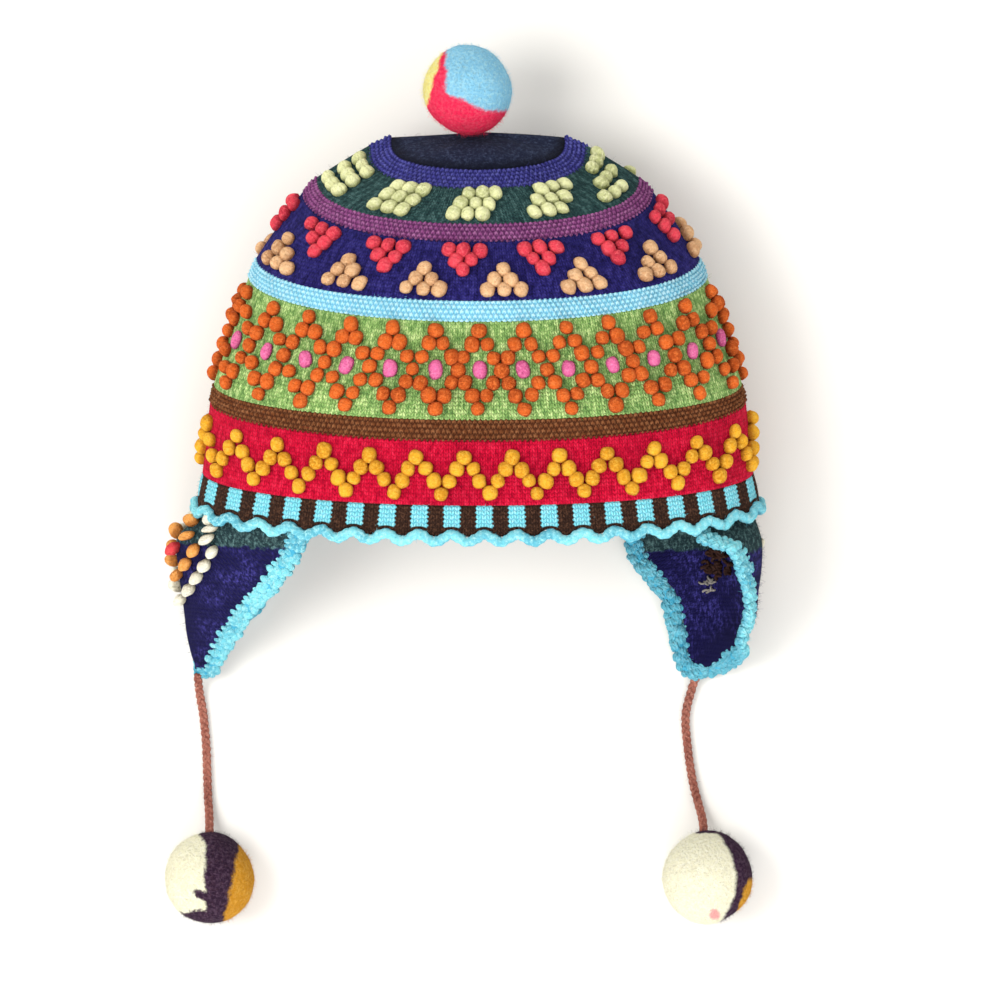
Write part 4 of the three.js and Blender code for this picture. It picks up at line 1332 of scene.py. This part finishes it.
# %% [markdown]
# The balls are felted wool, rolled by hand. Each starts as an icosphere, whose corners are pushed in and
# out by soft waves. The two on the table are a little longer than wide and pressed flat below.
# %% Shape of the felt balls
BALL_SMALLER = 0.5
BALL_RUMPLE = 0.9
BALL_LONGER = 1.045
BALL_FURTHER = 0.6
PRESSED_OVER = 1.2
RUMPLE_WAVES = ((0.07, 1.0), (0.16, 0.5), (0.4, 0.2), (1.0, 0.12))


def rumple(points, depth, seed):
    """Soft hollows and swellings from a few waves in several directions."""
    draw = np.random.default_rng(seed)
    rise = np.zeros(len(points))
    for scale, share in RUMPLE_WAVES:
        for _ in range(5):
            way = unit(draw.normal(size=3))
            phase = draw.uniform(0, 6.28)
            rise += share / 5 * np.sin(points @ way * scale * draw.uniform(1.6, 2.6) + phase)
    return rise * depth


def felt_ball(name, middle, on_table, seed):
    bpy.ops.object.select_all(action="DESELECT")
    bpy.ops.mesh.primitive_ico_sphere_add(subdivisions=6, radius=1)
    ball = bpy.context.object
    ball.name = name
    way = corners(ball)
    points = way * (BALL_RADIUS - BALL_SMALLER + rumple(way * BALL_RADIUS, BALL_RUMPLE, seed))[:, None]
    if on_table:
        points[:, 1] = points[:, 1] * BALL_LONGER - BALL_FURTHER
        floor = ON_TABLE - middle[2]
        height = points[:, 2] - floor
        pressed = PRESSED_OVER * np.exp((height - PRESSED_OVER) / PRESSED_OVER)
        points[:, 2] = floor + np.where(height < PRESSED_OVER, pressed, height)
    move_corners(ball, (points + middle) * MM)
    return ball


# %% [markdown]
# The felt is patches of several colours, rubbed together until they hold. Where one colour ends and the
# next begins is a wavering line. The material works it out from the place on the ball, in millimetres off
# the ball's middle, so that each patch can be set as it was measured.
# %% Colours of the felt balls
def heather(finish, main, light):
    return finish.mix(finish.noise(700, 4, 0.7).step(0.4, 0.7) * 0.7, main, light)


def felt_material(name, middle, paint):
    """paint(finish, x, y, waver) gives the ball's colour from places in millimetres off its middle."""
    finish = Finish(name)
    origin = tuple(-middle * MM)
    moved = finish.node("ShaderNodeVectorMath", {"operation": "ADD"}, [finish.place, origin])
    scaled = finish.node("ShaderNodeVectorMath", {"operation": "SCALE"}, [moved.outputs[0]], Scale=1 / MM)
    x, y, _ = finish.axes(scaled.outputs[0])
    waver = (finish.noise(150, 4, 0.7) - 0.5) * 9 + (finish.noise(900, 3, 0.7) - 0.5) * 5
    fibre = finish.noise(1500, 5, 0.75)
    tuft = finish.noise(650, 3, 0.6)
    colour = paint(finish, x, y, waver)
    colour = finish.mix((1 - tuft).step(0.45, 0.75) * 0.14, colour, rgb(90, 50, 44))
    return finish.wear(colour, tuft + fibre * 0.5, 3.2, fibre * 0.2 + 0.78)


def top_paint(finish, x, y, waver):
    """Coral below, sky blue above and pale yellow at the left."""
    coral = heather(finish, rgb(250, 42, 88), rgb(255, 96, 122))
    blue = heather(finish, rgb(138, 208, 242), rgb(188, 238, 252))
    yellow = heather(finish, rgb(250, 238, 140), rgb(254, 250, 196))
    patch = (x + 9.8).at_most(y + x * 0.47 + 5.8).at_most(y + 9.3) + waver * 0.5
    colour = finish.mix(patch.step(-1.1, 1.1), coral, blue)
    return finish.mix((x * -1 + y * 0.3 + waver * 0.4).step(15.4, 16.8), colour, yellow)


def left_paint(finish, x, y, waver):
    """Cream, a purple band with a tongue and a curl at its foot, and mustard at the right."""
    cream = heather(finish, rgb(246, 242, 210), rgb(254, 252, 234))
    purple = heather(finish, rgb(46, 26, 48), rgb(98, 75, 95))
    mustard = heather(finish, rgb(206, 142, 33), rgb(232, 180, 80))
    top_hook = (y - 14).at_least(0.0) * 0.6
    colour = finish.mix((x + top_hook + waver * 0.5).step(-2.2, -0.2), cream, purple)
    colour = finish.mix((x + y * -0.2 + waver * 0.5).step(9.5, 11.5), colour, mustard)
    curl = (y * -1 + x * 0.2 + waver * 0.8).step(12.6, 14.4) * (x + waver * 0.5).step(-14, -11)
    colour = finish.mix(curl * (1 - (x + y * -0.3).step(8, 10)), colour, purple)
    tongue = 1 - (y + x * 0.3 + 8.8 + waver * 0.5).size().step(1.1, 2.6)
    tongue = tongue * (x + waver * 0.6).step(-7.2, -5.4) * (1 - x.step(0, 2))
    return finish.mix(tongue, colour, purple)


def right_paint(finish, x, y, waver):
    """Cream with a small pink spot, a purple arc at the right and mustard past it."""
    cream = heather(finish, rgb(246, 242, 212), rgb(254, 252, 236))
    purple = heather(finish, rgb(48, 26, 50), rgb(98, 74, 95))
    mustard = heather(finish, rgb(206, 144, 36), rgb(232, 180, 80))
    bend = (y + 1.5) * (y + 1.5) * 0.019
    colour = finish.mix((x + bend + waver * 0.4).step(11.2, 13.2), cream, purple)
    colour = finish.mix((x + y * -0.3 + waver * 0.4).step(16.9, 18.1) * (1 - y.step(-3, 0)), colour, mustard)
    colour = finish.mix((y + waver * 0.3).step(18.6, 19.3), colour, purple)
    spot = (x - 2.7) * (x - 2.7) + (y + 16.8) * (y + 16.8) + waver * 1.5
    return finish.mix((1 - spot.step(2, 9)) * 0.8, colour, rgb(238, 140, 146))


BALLS = {
    "top_pompom": (top_paint, False, "coral_felt", 3),
    "tie_pompom_left": (left_paint, True, "cream_felt", 5),
    "tie_pompom_right": (right_paint, True, "cream_felt", 8),
}
for name, (paint_ball, on_table, slot, seed) in BALLS.items():
    middle = tie_ball_middle(name) if on_table else middle_of(name)
    ball = felt_ball(f"{name}_felt", middle, on_table, seed)
    finish_piece(ball, [name], slot, felt_material(f"{name}_felt", middle, paint_ball))
    grow_fibres(ball, "ball")

for side, (tie, path, length) in ties.items():
    tuple(path[0] * MM)
    length * MM
    (path * MM).tolist()
